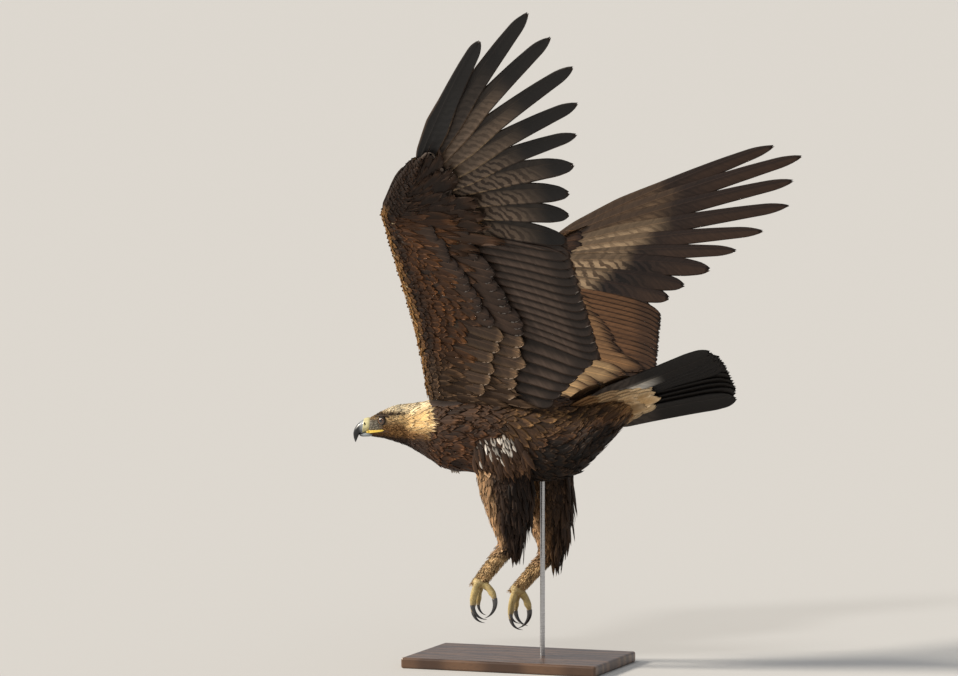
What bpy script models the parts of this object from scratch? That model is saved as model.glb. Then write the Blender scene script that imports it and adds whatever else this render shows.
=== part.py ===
"""A life-size golden eagle in flapping flight, wings raised and feet hanging, on a plain display stand.

Metres throughout. The bird flies towards -X with its left side to -Y. Its points are worked out in
a bird frame, x forward, y left and z up, with the origin midway between the shoulder joints. Body,
wings and tail are banked left side up about the line of flight; head and legs hang level.
"""

import math

import bmesh
import bpy
import numpy as np
from mathutils import Matrix, Vector

GAP = 0.0003
FLAT = math.radians(0.02)
UP = np.array([0.0, 0.0, 1.0])

# Posture
BANK = math.radians(15)
HEAD_YAW = math.radians(18)
HEAD_AT = np.array([0.170, 0.030, -0.031])
SHOULDER_HEIGHT = 0.530

# Bones of the wing
SHOULDER = np.array([0.030, 0.065, 0.025])
HUMERUS = 0.195
ULNA = 0.225
HAND = 0.170
HAND_AHEAD = math.radians(8)

# How each wing is held: its wrist, the aim of its hand, the lie of its inner feathers, the lengths of
# its outer and inner secondaries, how far those droop, the scale and power of its primaries' fan, the
# length of its outermost primary, and the scale of all but the outer two
WINGS = {
    "left": {
        "side": 1,
        "wrist": (0.083, 0.287, 0.327),
        "aim": (-0.591, 0.700, 0.402),
        "trail": (-0.989, 0.082, -0.123),
        "outer": 0.372,
        "inner": 0.305,
        "droop": math.radians(11),
        "fan": (1.05, 1.0),
        "outermost": 0.450,
        "inner_primaries": 1.0,
    },
    "right": {
        "side": -1,
        "wrist": (0.105, 0.282, 0.322),
        "aim": (-0.800, 0.380, 0.450),
        "trail": (-0.972, 0.195, -0.130),
        "outer": 0.385,
        "inner": 0.290,
        "droop": math.radians(0),
        "fan": (1.03, 1.25),
        "outermost": 0.550,
        "inner_primaries": 0.970,
    },
}

# Feathers
VANE = 0.0008
SHINGLE = math.radians(7)
PRIMARY_LENGTHS = (0.372, 0.388, 0.405, 0.445, 0.490, 0.538, 0.590, 0.602, 0.608)
PRIMARY_FAN = (0.00, 0.15, 0.27, 0.40, 0.52, 0.62, 0.73, 0.85, 0.95, 1.05)
PRIMARY_WIDTH = 0.050
SECONDARIES = 14
SECONDARY_WIDTH = 0.044
TERTIALS = 6
TERTIAL_WIDTH = 0.055
TERTIAL_TURN = math.radians(-1.5)
TERTIAL_STEP = 0.013
TERTIAL_REACH = 0.90
TERTIAL_BACK = 0.010
# How far behind the bones the quills start, and where the primaries start along the hand
QUILL_BACK = 0.012
PRIMARY_ROOTS = (0.06, 0.86)
# The feathers turn from the plane of the hand to that of the arm over this many, from this one on
TWIST_FROM = 2
TWIST_OVER = 16
TAIL_FEATHERS = 12
TAIL_LENGTH = 0.306
TAIL_SPREAD = math.radians(6.8)
TAIL_RAISED = math.radians(18)
TAIL_TWIST = math.radians(32)
TAIL_WIDTH = 0.050
TAIL_ROOT = np.array([-0.262, 0.0, -0.002])
TAIL_ROOT_STEP = 0.0062

# Legs: which side, the heel, the middle of the foot, and how the hind toe slopes at root and tip
LEGS = {
    "left": {
        "side": 1,
        "heel": (-0.110, 0.050, -0.279),
        "foot": (-0.050, 0.052, -0.355),
        "hind": (-14, -74),
    },
    "right": {
        "side": -1,
        "heel": (-0.163, 0.050, -0.305),
        "foot": (-0.095, 0.052, -0.380),
        "hind": (-46, -80),
    },
}
# Each toe: its turn from straight ahead, how far to the side of the middle it starts, how steeply
# it points down at its root and at its tip, its length and radius, and the length of its claw.
# Angles are in degrees; the hind toe's slopes are the leg's own, since it swings freely
TOE_KEYS = ("azimuth", "beside", "bends", "length", "radius", "claw")
TOES = {
    "inner": (12, 0.0138, (-62, -92), 0.050, 0.0064, 0.046),
    "middle": (0, 0.0, (-56, -96), 0.066, 0.0064, 0.038),
    "outer": (-16, -0.0138, (-64, -92), 0.052, 0.0060, 0.032),
    "hind": (176, 0.006, None, 0.050, 0.0074, 0.052),
}
TOE_SWELL = (0.95, 1.0, 0.94, 0.94, 0.60)
CLAW_TAPER = (1.0, 0.90, 0.74, 0.56, 0.38, 0.20, 0.05)
CLAW_TURN = math.radians(88)
# Root radius of a claw over its length
CLAW_SLIMNESS = 0.1
TOE_SIDES = 8
CLAW_SIDES = 6
KNUCKLE = (0.0150, 0.0205, 0.0130)
TARSUS_RADIUS = 0.0125
# Share of the way down the shank, and of its radius
SHANK = ((0.0, 1.30), (0.25, 1.15), (0.6, 0.98), (0.9, 0.92), (1.0, 0.85))
# Share of the way from hip to heel, and how far the drumstick reaches ahead, behind and to each side
THIGH_RINGS = (
    (0.00, 0.058, 0.062, 0.038),
    (0.25, 0.060, 0.060, 0.043),
    (0.50, 0.052, 0.056, 0.042),
    (0.72, 0.038, 0.046, 0.034),
    (0.88, 0.026, 0.032, 0.024),
    (1.00, 0.017, 0.020, 0.0165),
)
HIP_HEIGHT = -0.085
HIP_AHEAD = 0.012
THIGH_SIDES = 14
# Tiers of trouser feathers: share down the thigh, count, first and last turn, length and width
TROUSERS = (
    (0.30, 4, 60, 215, 0.085, 0.034),
    (0.50, 5, 48, 222, 0.085, 0.032),
    (0.68, 5, 58, 226, 0.085, 0.028),
    (0.84, 5, 70, 228, 0.072, 0.022),
)
LOCK_THICKNESS = 0.0022
LOCK_SINK = 0.006

# Stand
BASE_LENGTH = 0.42
BASE_WIDTH = 0.26
BASE_THICKNESS = 0.022
BASE_BEHIND_SHOULDERS = 0.115
ROD_RADIUS = 0.005
ROD_AT = np.array([-0.168, 0.004])
ROD_TOP = -0.128
SOCKET_DEPTH = 0.010
BASE_EDGE = 0.004
ROD_SIDES = 20

COLOURS = {
    "feather_dark": (0.085, 0.050, 0.032, 1),
    "feather_gold": (0.55, 0.38, 0.17, 1),
    "flesh_yellow": (0.75, 0.56, 0.18, 1),
    "horn": (0.06, 0.065, 0.075, 1),
    "eye": (0.20, 0.08, 0.02, 1),
    "wood": (0.16, 0.085, 0.045, 1),
    "metal": (0.55, 0.55, 0.56, 1),
}
METALLIC = {"metal": 1.0}


def unit(v):
    v = np.asarray(v, float)
    return v / np.linalg.norm(v)


def turned(v, axis, angle):
    """v turned about axis by angle, right-handed."""
    axis = unit(axis)
    along = axis * (axis @ v)
    return along + (v - along) * math.cos(angle) + np.cross(axis, v) * math.sin(angle)


def smooth(t):
    t = min(max(t, 0.0), 1.0)
    return t * t * (3 - 2 * t)


def at(table, t):
    """The value at t, from rows of (t, value, ...), straight between rows."""
    columns = np.array(table, float).T
    found = [float(np.interp(t, columns[0], column)) for column in columns[1:]]
    return found[0] if len(found) == 1 else found


# Scene
def clear():
    for obj in list(bpy.data.objects):
        bpy.data.objects.remove(obj)


def collection(name):
    made = bpy.data.collections.new(name)
    bpy.context.scene.collection.children.link(made)
    return made


def material(name):
    found = bpy.data.materials.get(name)
    if found:
        return found
    made = bpy.data.materials.new(name)
    made.use_nodes = True
    shader = made.node_tree.nodes["Principled BSDF"]
    shader.inputs["Base Color"].default_value = COLOURS[name]
    shader.inputs["Roughness"].default_value = 0.35 if name in ("horn", "eye", "metal") else 0.7
    shader.inputs["Metallic"].default_value = METALLIC.get(name, 0.0)
    made.diffuse_color = COLOURS[name]
    return made


def empty(name, matrix, home):
    made = bpy.data.objects.new(name, None)
    home.objects.link(made)
    made.matrix_world = matrix
    return made


def solid(name, shape, slot, frame, home):
    """An object from (points, faces), in the frame of its parent, with its faces turned out."""
    points, faces = shape
    mesh = bpy.data.meshes.new(name)
    mesh.from_pydata([tuple(p) for p in points], [], faces)
    bm = bmesh.new()
    bm.from_mesh(mesh)
    bmesh.ops.recalc_face_normals(bm, faces=bm.faces)
    bm.to_mesh(mesh)
    bm.free()
    mesh.materials.append(material(slot))
    obj = bpy.data.objects.new(name, mesh)
    home.objects.link(obj)
    obj.parent = frame
    bpy.context.view_layer.update()
    return obj


# Shapes
def ring(centre, across, up, half_width, above, below, count):
    """A closed egg-shaped ring round centre, in the plane of across and up."""
    points = []
    for k in range(count):
        turn = 2 * math.pi * k / count
        rise = above if math.sin(turn) > 0 else below
        points.append(centre + across * half_width * math.cos(turn) + up * rise * math.sin(turn))
    return points


def loft(rings):
    """Points and faces of a closed tube through rings of equal count, with flat ends."""
    count = len(rings[0])
    points = [p for one in rings for p in one]
    faces = [tuple(range(count))[::-1]]
    for r in range(len(rings) - 1):
        for k in range(count):
            a, b = r * count + k, r * count + (k + 1) % count
            faces.append((a, b, b + count, a + count))
    last = (len(rings) - 1) * count
    faces.append(tuple(range(last, last + count)))
    return points, faces


def tube(path, radii, side, count, first=None):
    """A closed tube along path with a radius at each point; side is a direction off the path, and
    first is the way the tube faces at its start."""
    rings = []
    for k, point in enumerate(path):
        ahead = unit(path[min(k + 1, len(path) - 1)] - path[max(k - 1, 0)])
        if k == 0 and first is not None:
            ahead = first
        across = unit(side - ahead * (ahead @ side))
        rings.append(ring(point, across, np.cross(across, ahead), radii[k], radii[k], radii[k], count))
    return loft(rings)


FINGER_OUTLINE = ((0, 0.22), (0.15, 0.80), (0.36, 1.0), (0.52, 0.80), (0.93, 0.50), (1.0, 0.16))
PRIMARY_OUTLINE = ((0, 0.22), (0.18, 0.85), (0.70, 1.0), (0.90, 0.78), (1.0, 0.22))
SECONDARY_OUTLINE = ((0, 0.22), (0.22, 0.90), (0.88, 0.96), (1.0, 0.32))
COVERT_OUTLINE = ((0, 0.50), (0.62, 1.0), (1.0, 0.42))
LOCK_OUTLINE = ((0, 0.60), (0.42, 1.0), (1.0, 0.10))


def vane(root, along, normal, length, width, outline, tilt=0.0, thickness=VANE):
    """A feather as a thin plate, tilted about its length. Its two faces are split into like triangles."""
    across = unit(np.cross(normal, along))
    face = turned(normal, along, tilt)
    across = turned(across, along, tilt)
    points, faces = [], []
    for t, share in outline:
        centre = root + along * length * t
        half = across * width * share / 2
        deep = face * thickness * (0.5 if t < 1 else 0.32)
        points += [centre - half + deep, centre + half + deep, centre + half - deep, centre - half - deep]
    count = len(outline)
    faces += [(0, 1, 2), (0, 2, 3)]
    for r in range(count - 1):
        a = 4 * r
        b = a + 4
        faces += [(a, b, a + 1), (a + 1, b, b + 1)]
        faces += [(a + 3, a + 2, b + 3), (a + 2, b + 2, b + 3)]
        faces += [(a, a + 3, b), (a + 3, b + 3, b)]
        faces += [(a + 1, b + 1, a + 2), (b + 1, b + 2, a + 2)]
    last = 4 * (count - 1)
    faces += [(last, last + 2, last + 1), (last, last + 3, last + 2)]
    return points, faces


def shown(obj, yes):
    obj.hide_render = not yes
    obj.display_type = "TEXTURED" if yes else "WIRE"


def apply_modifiers(obj):
    graph = bpy.context.evaluated_depsgraph_get()
    made = bpy.data.meshes.new_from_object(obj.evaluated_get(graph))
    obj.modifiers.clear()
    old = obj.data
    obj.data = made
    bpy.data.meshes.remove(old)


def boolean(obj, operation, other=None, group=None):
    modifier = obj.modifiers.new("boolean", "BOOLEAN")
    modifier.operation = operation
    if group:
        modifier.operand_type = "COLLECTION"
        modifier.collection = group
    else:
        modifier.object = other
    apply_modifiers(obj)


def join_pieces(obj, shapes, cutters):
    """Unites obj with every shape in one Boolean, then removes the pieces."""
    group = bpy.data.collections.new(obj.name + "_pieces")
    cutters.children.link(group)
    for k, shape in enumerate(shapes):
        piece = solid(f"{obj.name}_piece_{k}", shape, obj.data.materials[0].name, obj.parent, group)
        shown(piece, False)
    boolean(obj, "UNION", group=group)
    for piece in list(group.objects):
        bpy.data.objects.remove(piece)
    bpy.data.collections.remove(group)


def tidy_faces(obj):
    """Joins the flat faces that a Boolean has split."""
    bm = bmesh.new()
    bm.from_mesh(obj.data)
    bmesh.ops.dissolve_limit(bm, angle_limit=FLAT, verts=bm.verts, edges=bm.edges)
    bmesh.ops.triangulate(bm, faces=bm.faces, quad_method="BEAUTY", ngon_method="BEAUTY")
    bm.to_mesh(obj.data)
    bm.free()


def keep_largest(obj):
    """Leaves only the largest closed surface of obj."""
    bm = bmesh.new()
    bm.from_mesh(obj.data)
    left, shells = set(bm.verts), []
    while left:
        start = left.pop()
        shell, edge = {start}, [start]
        while edge:
            for link in edge.pop().link_edges:
                for v in link.verts:
                    if v in left:
                        left.discard(v)
                        shell.add(v)
                        edge.append(v)
        shells.append(shell)

    def extent(shell):
        places = np.array([v.co for v in shell])
        return float(np.prod(np.ptp(places, axis=0) + 1e-6)) * len(shell)

    keep = max(shells, key=extent)
    dropped = [v for shell in shells if shell is not keep for v in shell]
    bmesh.ops.delete(bm, geom=dropped, context="VERTS")
    bm.to_mesh(obj.data)
    bm.free()


def carve(obj, shape, cutters):
    """Cuts a shape away from obj."""
    tool = solid(obj.name + "_cutter", shape, obj.data.materials[0].name, obj.parent, cutters)
    shown(tool, False)
    boolean(obj, "DIFFERENCE", other=tool)
    bpy.data.objects.remove(tool)


def cut_by(obj, others):
    """Cuts the others away and keeps the largest surface that is left."""
    for other in others:
        boolean(obj, "DIFFERENCE", other=other)
    keep_largest(obj)
    tidy_faces(obj)


# Head
# Each ring: how far ahead of the eye, its top and bottom from the eye's height, and its half width
HEAD_RINGS = (
    (0.030, 0.0040, -0.0345, 0.0135),
    (0.020, 0.0100, -0.0360, 0.0195),
    (0.008, 0.0172, -0.0378, 0.0252),
    (-0.004, 0.0228, -0.0400, 0.0292),
    (-0.018, 0.0298, -0.0442, 0.0330),
    (-0.034, 0.0340, -0.0500, 0.0362),
    (-0.050, 0.0358, -0.0560, 0.0385),
)
# The neck's rings, forward, left, top, bottom, half width and share of the body's bank
NECK_RINGS = (
    (0.104, 0.0080, 0.0075, -0.0970, 0.0430, 0.35),
    (0.085, 0.0030, 0.0110, -0.1070, 0.0520, 0.70),
    (0.0655, 0.0, 0.0150, -0.1175, 0.0610, 1.0),
)
TORSO_RINGS = (
    (0.0652, 0.0, 0.0150, -0.1175, 0.0610),
    (0.045, 0.0, 0.0200, -0.1310, 0.0680),
    (0.020, 0.0, 0.0250, -0.1380, 0.0730),
    (-0.020, 0.0, 0.0300, -0.1400, 0.0780),
    (-0.070, 0.0, 0.0330, -0.1440, 0.0800),
    (-0.120, 0.0, 0.0340, -0.1500, 0.0790),
    (-0.170, 0.0, 0.0320, -0.1540, 0.0750),
    (-0.215, 0.0, 0.0290, -0.1500, 0.0680),
    (-0.255, 0.0, 0.0260, -0.1360, 0.0580),
)
RUMP_RINGS = (
    (-0.2553, 0.0, 0.0260, -0.1360, 0.0580),
    (-0.280, 0.0, 0.0280, -0.1160, 0.0520),
    (-0.305, 0.0, 0.0330, -0.0930, 0.0450),
    (-0.330, 0.0, 0.0400, -0.0640, 0.0380),
    (-0.352, 0.0, 0.0460, -0.0200, 0.0300),
)
TRUNK_SIDES = 20
# Along each brow: how far ahead of the eye, above it, and off the side of the head
BROW = (
    (0.012, 0.0085, -0.0020),
    (0.004, 0.0105, -0.0006),
    (-0.006, 0.0100, -0.0010),
    (-0.014, 0.0070, -0.0030),
)
BROW_RADII = (0.0010, 0.0030, 0.0030, 0.0010)
# The line of the mouth on the head: its half height, how deep it is cut and where it runs
MOUTH_GAP = 0.0006
MOUTH_DEPTH = 0.0025
MOUTH_REACH = 0.010
MOUTH_AT = (0.034, 0.022, 0.010, -0.003)
MOUTH_LEVEL = -0.0222
MOUTH_SLOPE = 0.06
# Where the nostrils are, how far to the side, their half sizes, and their slope, ahead and up
NOSTRIL = (0.0370, -0.0085)
NOSTRIL_BESIDE = 0.0108
NOSTRIL_SIZE = (0.0034, 0.0016, 0.0026)
NOSTRIL_SLOPE = (0.50, 0.87)
# The widest level of the head and trunk, as a share of their height, and that of the bill
WAIST = 0.58
BILL_WAIST = 0.36
BILL_SIDES = 12
EYE_RADIUS = 0.0105
EYE_LEFT = 0.0185
EYE_AIM = math.radians(65)
LID_RADIUS = 0.0084
LID_THICKNESS = 0.0016
# Bill's rings: forward and height of the ridge, of the edge below it, and half width
BILL_UPPER = (
    (0.0303, 0.0045, 0.0303, -0.0222, 0.0130),
    (0.0375, 0.0030, 0.0370, -0.0242, 0.0117),
    (0.0455, -0.0022, 0.0435, -0.0262, 0.0098),
    (0.0525, -0.0095, 0.0490, -0.0280, 0.0076),
    (0.0580, -0.0180, 0.0518, -0.0303, 0.0056),
    (0.0606, -0.0272, 0.0532, -0.0342, 0.0038),
    (0.0596, -0.0368, 0.0548, -0.0392, 0.0021),
    (0.0568, -0.0440, 0.0560, -0.0446, 0.0006),
)
BILL_LOWER = (
    (0.0303, -0.0227, 0.0303, -0.0348, 0.0108),
    (0.0385, -0.0251, 0.0385, -0.0352, 0.0090),
    (0.0450, -0.0272, 0.0450, -0.0348, 0.0066),
    (0.0492, -0.0288, 0.0488, -0.0328, 0.0030),
)


def level_ring(row, roll, count, more=0.0):
    """A ring of the trunk across the line of flight, rolled left side up."""
    forward, left, top, bottom, half_width = row[:5]
    across = np.array([0.0, math.cos(roll), math.sin(roll)])
    up = np.array([0.0, -math.sin(roll), math.cos(roll)])
    waist = bottom + WAIST * (top - bottom)
    centre = np.array([forward, left, 0.0]) + up * waist
    return ring(centre, across, up, half_width + more, top - waist + more, waist - bottom + more, count)


def head_axes():
    """Forward, left and up of the head, in the level frame."""
    fore = np.array([math.cos(HEAD_YAW), math.sin(HEAD_YAW), 0.0])
    return fore, np.cross(UP, fore), UP


def in_head(x, y, z):
    fore, left, up = head_axes()
    return HEAD_AT + fore * x + left * y + up * z


def head_ring(row, count, back=0.0):
    x, top, bottom, half_width = row
    fore, left, up = head_axes()
    waist = bottom + WAIST * (top - bottom)
    centre = in_head(x - back, 0.0, waist)
    return ring(centre, left, up, half_width, top - waist, waist - bottom, count)


def head_half_width(x, z):
    """How far the head's side lies from its middle."""
    top, bottom, half_width = at(HEAD_RINGS[::-1], x)
    waist = bottom + WAIST * (top - bottom)
    reach = top - waist if z > waist else waist - bottom
    return half_width * math.sqrt(max(1 - ((z - waist) / reach) ** 2, 0.0))


def bill_ring(row, count):
    """An egg-shaped ring of the bill, widest towards its edge below."""
    ridge = np.array(in_head(row[0], 0.0, row[1]))
    edge = np.array(in_head(row[2], 0.0, row[3]))
    height = np.linalg.norm(ridge - edge)
    up = (ridge - edge) / height
    left = head_axes()[1]
    below = height * BILL_WAIST
    return ring(edge + up * below, left, up, row[4], height - below, below, count)


def placed(centre, x_axis, y_axis, z_axis, sizes=(1.0, 1.0, 1.0)):
    """The matrix that carries a shape from the origin to centre, along three axes."""
    made = Matrix.Identity(4)
    for k, axis in enumerate((x_axis, y_axis, z_axis)):
        for row in range(3):
            made[row][k] = axis[row] * sizes[k]
    made.translation = centre
    return made


def shape_of(bm):
    """The points and faces of a bmesh, which it then frees."""
    points = [np.array(v.co) for v in bm.verts]
    faces = [tuple(v.index for v in face.verts) for face in bm.faces]
    bm.free()
    return points, faces


def ball(centre, radii, axes, segments=12, rings=8):
    """A closed ellipsoid with its poles along the first axis."""
    bm = bmesh.new()
    matrix = placed(centre, axes[1], axes[2], axes[0], (radii[1], radii[2], radii[0]))
    bmesh.ops.create_uvsphere(bm, u_segments=segments, v_segments=rings, radius=1.0, matrix=matrix)
    bm.verts.index_update()
    return shape_of(bm)


def torus(centre, axis, radius, thickness, segments=14, sides=5):
    """A closed ring of round section about axis."""
    bpy.ops.mesh.primitive_torus_add(major_radius=radius, minor_radius=thickness, major_segments=segments,
                                     minor_segments=sides)
    made = bpy.context.object
    bm = bmesh.new()
    bm.from_mesh(made.data)
    bpy.data.objects.remove(made)
    first = unit(np.cross(axis, UP))
    bm.transform(placed(centre, first, np.cross(axis, first), axis))
    return shape_of(bm)


def eye_place(side):
    return in_head(0.0, EYE_LEFT * side, 0.0)


def eye_axis(side):
    fore, left, up = head_axes()
    return fore * math.cos(EYE_AIM) + left * math.sin(EYE_AIM) * side


def add_head(home, cutters, level):
    rings = [head_ring(row, TRUNK_SIDES) for row in HEAD_RINGS]
    head = solid("head", loft(rings), "feather_gold", level, home)
    pieces = []
    for side in (1, -1):
        axis = eye_axis(side)
        out = eye_place(side) + axis * math.sqrt(EYE_RADIUS**2 - LID_RADIUS**2)
        pieces.append(torus(out, axis, LID_RADIUS, LID_THICKNESS))
        path = [in_head(x, side * (head_half_width(x, z) + more), z) for x, z, more in BROW]
        pieces.append(tube(path, BROW_RADII, UP, 8))
    join_pieces(head, pieces, cutters)
    for name, side in (("left", 1), ("right", -1)):
        axis = eye_axis(side)
        across = unit(np.cross(axis, UP))
        axes = (axis, across, np.cross(axis, across))
        carve(head, ball(eye_place(side), [EYE_RADIUS + GAP] * 3, axes), cutters)
        solid(f"eye_{name}", ball(eye_place(side), [EYE_RADIUS] * 3, axes), "eye", level, home)
        rows = []
        for x in MOUTH_AT:
            z = mouth_height(x)
            inner = head_half_width(x, z) - (MOUTH_DEPTH if x > 0 else MOUTH_GAP)
            middle = in_head(x, side * (inner + MOUTH_REACH), z)
            rows.append(ring(middle, head_axes()[1], UP, MOUTH_REACH, MOUTH_GAP, MOUTH_GAP, 4))
        carve(head, loft(rows), cutters)
    keep_largest(head)
    tidy_faces(head)


def mouth_height(x):
    return MOUTH_LEVEL + MOUTH_SLOPE * (BILL_UPPER[0][0] - x)


def add_bill(home, cutters, level):
    upper = solid("bill_upper", loft([bill_ring(row, BILL_SIDES) for row in BILL_UPPER]), "horn", level, home)
    for side in (1, -1):
        fore, left, up = head_axes()
        place = in_head(NOSTRIL[0], side * NOSTRIL_BESIDE, NOSTRIL[1])
        slope = unit(fore * NOSTRIL_SLOPE[0] + up * NOSTRIL_SLOPE[1])
        hole = ball(place, NOSTRIL_SIZE, (slope, np.cross(slope, left), left), 6, 4)
        carve(upper, hole, cutters)
    solid("bill_lower", loft([bill_ring(row, BILL_SIDES) for row in BILL_LOWER]), "horn", level, home)


# Trunk
def neck_rings(more=0.0):
    rings = [head_ring(HEAD_RINGS[-1], TRUNK_SIDES, back=GAP)]
    rings += [level_ring(row, BANK * row[5], TRUNK_SIDES, more) for row in NECK_RINGS]
    return rings


def torso_rings(more=0.0):
    rings = [level_ring(row, 0.0, TRUNK_SIDES, more) for row in TORSO_RINGS]
    ahead = np.array([more, 0.0, 0.0])
    rings[0] = [p + ahead for p in rings[0]]
    rings[-1] = [p - ahead for p in rings[-1]]
    return rings


# Tail
# Above and below the tail: how far off its roots, width, start along the tail and length
TAIL_COVERTS = ((0.006, 0.038, 0.015, 0.120), (-0.024, 0.040, 0.030, 0.130))
TAIL_COVERT_COUNT = 6
TAIL_COVERT_FAN = math.radians(7)
TAIL_COVERT_REACH = 0.030
TAIL_COVERT_BACK = 0.012
TAIL_STACK = 0.0013
TAIL_MIDDLE = 0.004
TAIL_ROUNDED = 0.012


def tail_axes():
    along = np.array([-math.cos(TAIL_RAISED), 0.0, math.sin(TAIL_RAISED)])
    normal = turned(np.array([math.sin(TAIL_RAISED), 0.0, math.cos(TAIL_RAISED)]), along, -TAIL_TWIST)
    return along, normal


def tail_vanes():
    """The tail feathers in pairs, from the middle pair, on top, outward."""
    along, normal = tail_axes()
    shapes = []
    for k in range(TAIL_FEATHERS):
        rank, side = k // 2, 1 if k % 2 == 0 else -1
        fan = TAIL_SPREAD * (rank + 0.5) / (TAIL_FEATHERS / 2 - 0.5) * side
        aim = turned(along, normal, fan)
        left = np.cross(along, normal)
        root = TAIL_ROOT - normal * (TAIL_STACK * k) - left * side * (TAIL_MIDDLE + TAIL_ROOT_STEP * rank)
        length = TAIL_LENGTH * (1 - TAIL_ROUNDED * max(rank - 3, 0))
        shapes.append(vane(root, aim, normal, length, TAIL_WIDTH, SECONDARY_OUTLINE))
    return shapes


def tail_coverts():
    """Short vanes over and under the roots of the tail."""
    along, normal = tail_axes()
    left = np.cross(along, normal)
    shapes = []
    for rise, width, start, length in TAIL_COVERTS:
        for k in range(TAIL_COVERT_COUNT):
            beside = 2 * k / (TAIL_COVERT_COUNT - 1) - 1
            root = TAIL_ROOT + left * TAIL_COVERT_REACH * beside
            root = root + along * (start - TAIL_COVERT_BACK * abs(beside))
            root = root + normal * (rise + TAIL_STACK * k * math.copysign(1, rise))
            aim = turned(along, normal, -TAIL_COVERT_FAN * beside)
            shapes.append(vane(root, aim, normal, length, width, COVERT_OUTLINE))
    return shapes


def add_tail(home, cutters, banked):
    rings = []
    for k, row in enumerate(RUMP_RINGS):
        rings.append(level_ring(row, TAIL_TWIST * k / (len(RUMP_RINGS) - 1), TRUNK_SIDES))
    tail = solid("tail", loft(rings), "feather_dark", banked, home)
    join_pieces(tail, tail_vanes() + tail_coverts(), cutters)
    keep_largest(tail)
    tidy_faces(tail)


# Wings
def wing_axes(held):
    """The joints of a left wing, the directions of its feathers, and the dorsal side of arm and hand."""
    wrist = np.array(held["wrist"])
    span = unit(wrist - SHOULDER)
    trail = unit(held["trail"])
    chord = unit(trail - span * (trail @ span))
    reach = float(np.linalg.norm(wrist - SHOULDER))
    along = (HUMERUS**2 - ULNA**2 + reach**2) / (2 * reach)
    bend = math.sqrt(max(HUMERUS**2 - along**2, 0.0))
    aim = unit(held["aim"])
    hand_normal = unit(np.cross(aim, trail))
    fan = math.acos(float(trail @ aim))
    return {
        "wrist": wrist,
        "elbow": SHOULDER + span * along + chord * bend,
        "elbow_share": along / reach,
        "elbow_bend": bend,
        "span": span,
        "trail": trail,
        "chord": chord,
        "reach": reach,
        "fan": fan,
        "hand": turned(trail, hand_normal, -(fan + HAND_AHEAD)),
        "hand_normal": hand_normal,
        "arm_normal": unit(np.cross(span, trail)),
    }


# Share of the way from shoulder to wrist, front edge ahead of that line, rear edge behind the bones,
# and thickness
ARM_CORE = (
    (-0.10, -0.045, 0.080, 0.046),
    (0.10, -0.036, 0.070, 0.044),
    (0.30, -0.030, 0.045, 0.040),
    (0.456, -0.028, 0.032, 0.036),
    (0.66, -0.029, 0.036, 0.031),
    (0.84, -0.030, 0.038, 0.027),
    (1.00, -0.028, 0.040, 0.023),
)
# Share of the hand, front and rear edges off its line, and thickness
HAND_CORE = (
    (0.25, -0.034, 0.046, 0.025),
    (0.50, -0.032, 0.046, 0.023),
    (0.78, -0.027, 0.042, 0.020),
    (1.00, -0.020, 0.028, 0.015),
    (1.16, -0.012, 0.008, 0.008),
)
# How far back from the front edge, and how high there
AEROFOIL = (
    (0.0, 0.0), (0.08, 0.30), (0.30, 0.50), (0.62, 0.36), (1.0, 0.05),
    (1.0, -0.05), (0.62, -0.30), (0.30, -0.42), (0.08, -0.26),
)


def bones_behind(axes, share):
    """How far the humerus and ulna lie behind the line from shoulder to wrist."""
    peak = axes["elbow_share"]
    return axes["elbow_bend"] * (max(share, 0.0) / peak if share < peak else (1 - share) / (1 - peak))


def wing_core(axes):
    rings = []
    for share, front, rear, thick in ARM_CORE:
        middle = SHOULDER + axes["span"] * axes["reach"] * share
        rear += bones_behind(axes, share)
        back, normal = axes["chord"], axes["arm_normal"]
        rings.append([middle + back * (front + (rear - front) * c) + normal * thick * h for c, h in AEROFOIL])
    for share, front, rear, thick in HAND_CORE:
        middle = axes["wrist"] + axes["hand"] * HAND * share
        blend = 0.6 + 0.4 * smooth(share * 1.4)
        back = unit(np.cross(axes["hand_normal"], axes["hand"]))
        back = unit(axes["chord"] * (1 - blend) + back * blend)
        normal = unit(axes["arm_normal"] * (1 - blend) + axes["hand_normal"] * blend)
        rings.append([middle + back * (front + (rear - front) * c) + normal * thick * h for c, h in AEROFOIL])
    return loft(rings)


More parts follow.
